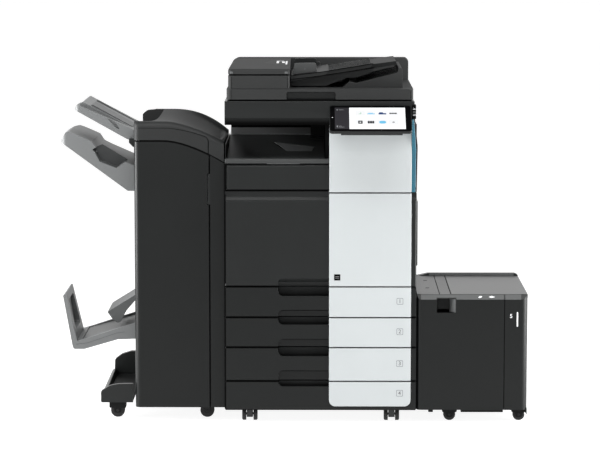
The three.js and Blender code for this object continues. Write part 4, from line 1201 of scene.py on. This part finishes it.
def make_lcc():
    rear, top = LCC.y1, LCC.z1
    side = [(0, LCC_LOW), (0, LCC_FRONT_TOP, 4), (LCC_BEVEL, LCC_TOP, 4), (LCC_BACK, LCC_TOP)]
    side += [(461, top, 6), (rear, top, 4), (rear, LCC_LOW)]
    plan = rectangle(LCC.x0, LCC.x1, 0, rear, [14, 22, 8, 4])
    body = common(prism("x", LCC.x0, LCC.x1, side), prism("z", LCC_LOW, top + 1, plan))
    # painted light: a lighter grey strip on the rising face of the rear step, for the light it catches
    step = [(448.6, LCC_TOP + 0.2), (460.6, top + 0.2), (461, top - 0.6), (449.4, LCC_TOP - 0.6)]
    piece("lcc_rear_step", prism("x", 368, 655, step), GREY_DARK, 0, "lcc")
    piece("lcc_shell", cut(body, *lcc_openings()), BLACK_SHADED_LOW, 1.2, "lcc", ["lcc_case"])
    for column, x in (("left", 420), ("right", 646)):
        for place, y in (("front", 62), ("rear", 420)):
            hood = common(fork(x, y, 19.5, 45), block(0, LCC.x1 - 0.5, 0, rear, 0, 60))
            piece(f"lcc_fork_{place}_{column}", hood, BLACK_DARK_AND_SHADE, 0.6, "lcc")
    skirt = prism("x", 666.8, LCC.x1, [(8, 50), (8, 28, 4), (470, 28, 4), (470, 50)])
    piece("lcc_side_skirt", skirt, BLACK, 0.6, "lcc")
    piece("lcc_front_rail", block(455, 592, 14, 30, 34, 46), BLACK_DARK_AND_SHADE, 0.8, "lcc")
    # painted shade: the latch pocket is the darker black, for the shade inside it
    piece("lcc_latch_pocket", block(376, 415.5, 17, 21.5, 372, 408), BLACK_DARK_AND_SHADE, 0.8, "lcc")
    # painted light: the slanted cheek beside the pocket is lighter grey, for the light it catches
    cheek = prism("z", 362.5, 406, [(416.4, 21.5), (434.5, 1.5), (436.6, 1.5), (436.6, 23), (416.4, 23)])
    piece("lcc_latch_cheek", cheek, GREY_MID, 0.6, "lcc")
    make_lcc_lip()
    piece("lcc_stop_foot", block(350, 365, 20, 40, 33, 46), BLACK_DARK_AND_SHADE, 0.8, "lcc")
    dress("lcc_lid", BLACK, 1.0)
    dress("lcc_lift_plate", STEEL, 0.6)
    # two slots on the top, and near-black strips of painted shade along the lid's seam, the front seam and
    # the groove
    slots = [(344, 356, y, y + 10, LCC_TOP - 0.4, LCC_TOP + 0.2) for y in (150, 330)]
    slots.append((LCC_LID.x0 - 3, LCC_LID.x0 - 0.4, 14, 447, LCC_TOP - 0.4, LCC_TOP + 0.2))
    slots.append((592.2, 595, -0.2, 1.5, 50, 404))
    slots.append((383.1, 385.1, 14, 446, LCC_TOP - 1.9, LCC_TOP - 0.1))
    piece("lcc_slots_and_seam_shade", blocks(slots), BLACK_MATT_AND_SHADE, 0, "lcc")


def make_lcc_lip():
    """Painted highlight: a lighter strip over the slanted edge, where it catches the light, which starts
    higher up above the latch.
    """
    rise = (LCC_TOP - LCC_FRONT_TOP) / LCC_BEVEL
    strips = []
    starts = ((LCC.x0 + 12, 374, 0.6), (438, 591, 0.6), (596, LCC.x1 - 22, 0.6), (373.9, 438.1, 4.6))
    for x0, x1, start in starts:
        corners = ((start, -0.25, 0.2), (11.4, -0.25, 0.2), (11.4, 0.8, -0.8), (start, 0.8, -0.8))
        lip = [(y + dy, LCC_FRONT_TOP + y * rise + dz) for y, dy, dz in corners]
        strips.append(prism("x", x0, x1, lip))
    piece("lcc_bevel_highlight", join(*strips), GREY_DARK, 0, "lcc")


def make_lcc_marks():
    printed("lcc_number", "5", 13, 615, -0.1, 351.6, WHITE_PRINT, "lcc")
    gauge = block(633, 637.4, -0.5, 1, 317.5, 365, 1.5, "y")
    piece("lcc_level_gauge", gauge, WHITE_PRINT, 0.2, "lcc")
    tilt = Matrix.Rotation(-math.atan2(LCC_BEVEL, LCC_TOP - LCC_FRONT_TOP), 4, "X")
    on_bevel = Matrix.Translation((0, LCC_BEVEL / 2, (LCC_FRONT_TOP + LCC_TOP) / 2)) @ tilt
    lever = [(508, -2, 1), (514, -4, 1), (522, 1, 1), (518, 4, 1), (512, 2)]
    sheets = [(541, 0), (552, 4), (563, 0), (552, -3)]
    for name, corners in (("lever", lever), ("sheets", sheets)):
        mark = moved(prism("y", -0.4, 0.2, corners), on_bevel)
        piece(f"lcc_{name}_mark", mark, WHITE_PRINT, 0, "lcc")


# ---------- parts that keep their CAD shape ----------


def dress_the_rest():
    looks = {
        "pedestal_frame": (PAINTED, 0.8),
        "engine_frame": (STEEL, 0.6),
        "left_cover": (BLACK, 1.0),
        "right_cover": (BLACK, 0),
        "right_door": (BLACK, 0.8),
        "bypass_tray": (BLACK, 1.2),
        "transfer_belt_unit": (BELT, 0.6),
        "fuser_unit": (BLACK, 1.5),
        "waste_toner_box": (GREY, 1.5),
    }
    looks |= {f"toner_{colour}": (material, 1.0) for colour, material in TONERS.items()}
    looks |= {node: (RUBBER, 0.8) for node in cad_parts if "_wheel_" in node}
    for node, (material, edge) in looks.items():
        dress(node, material, edge)


def make_rear_cover():
    cover = span("rear_cover")
    back = cover.y1
    slots = []
    for x, low, count in ((-250, 330, 12), (120, 330, 12), (120, 800, 10)):
        slots += [(x, x + 130, back - 3, back + 5, low + 9 * k, low + 9 * k + 4.5) for k in range(count)]
    socket = block(-270, -215, back - 3.4, back + 5, 262, 298, 4, "y")
    ports = block(-60, 60, back - 3.4, back + 5, 560, 620, 4, "y")
    plate = cut(block(*cover), blocks(slots), socket, ports)
    piece("rear_panel", plate, BLACK, 0.7, stands_for=["rear_cover"])


place_camera()
studio()
make_toner_door()
make_front_door()
make_seam_seals()
edge_lines()
make_door_label()
make_drawers()
make_white_cover()
make_accent()
make_output_tray()
make_status_light()
make_panel()
make_screen_content()
make_scanner()
make_feeder_base()
make_exit_wedge()
make_feed_cover()
make_feeder_mark()
make_document_tray()
make_guides()
make_finisher_door()
make_finisher_top()
make_finisher_hook()
make_upper_tray()
make_lower_tray()
make_booklet_tray()
make_booklet_flap()
make_foot()
make_lcc()
make_lcc_marks()
dress_the_rest()
make_rear_cover()
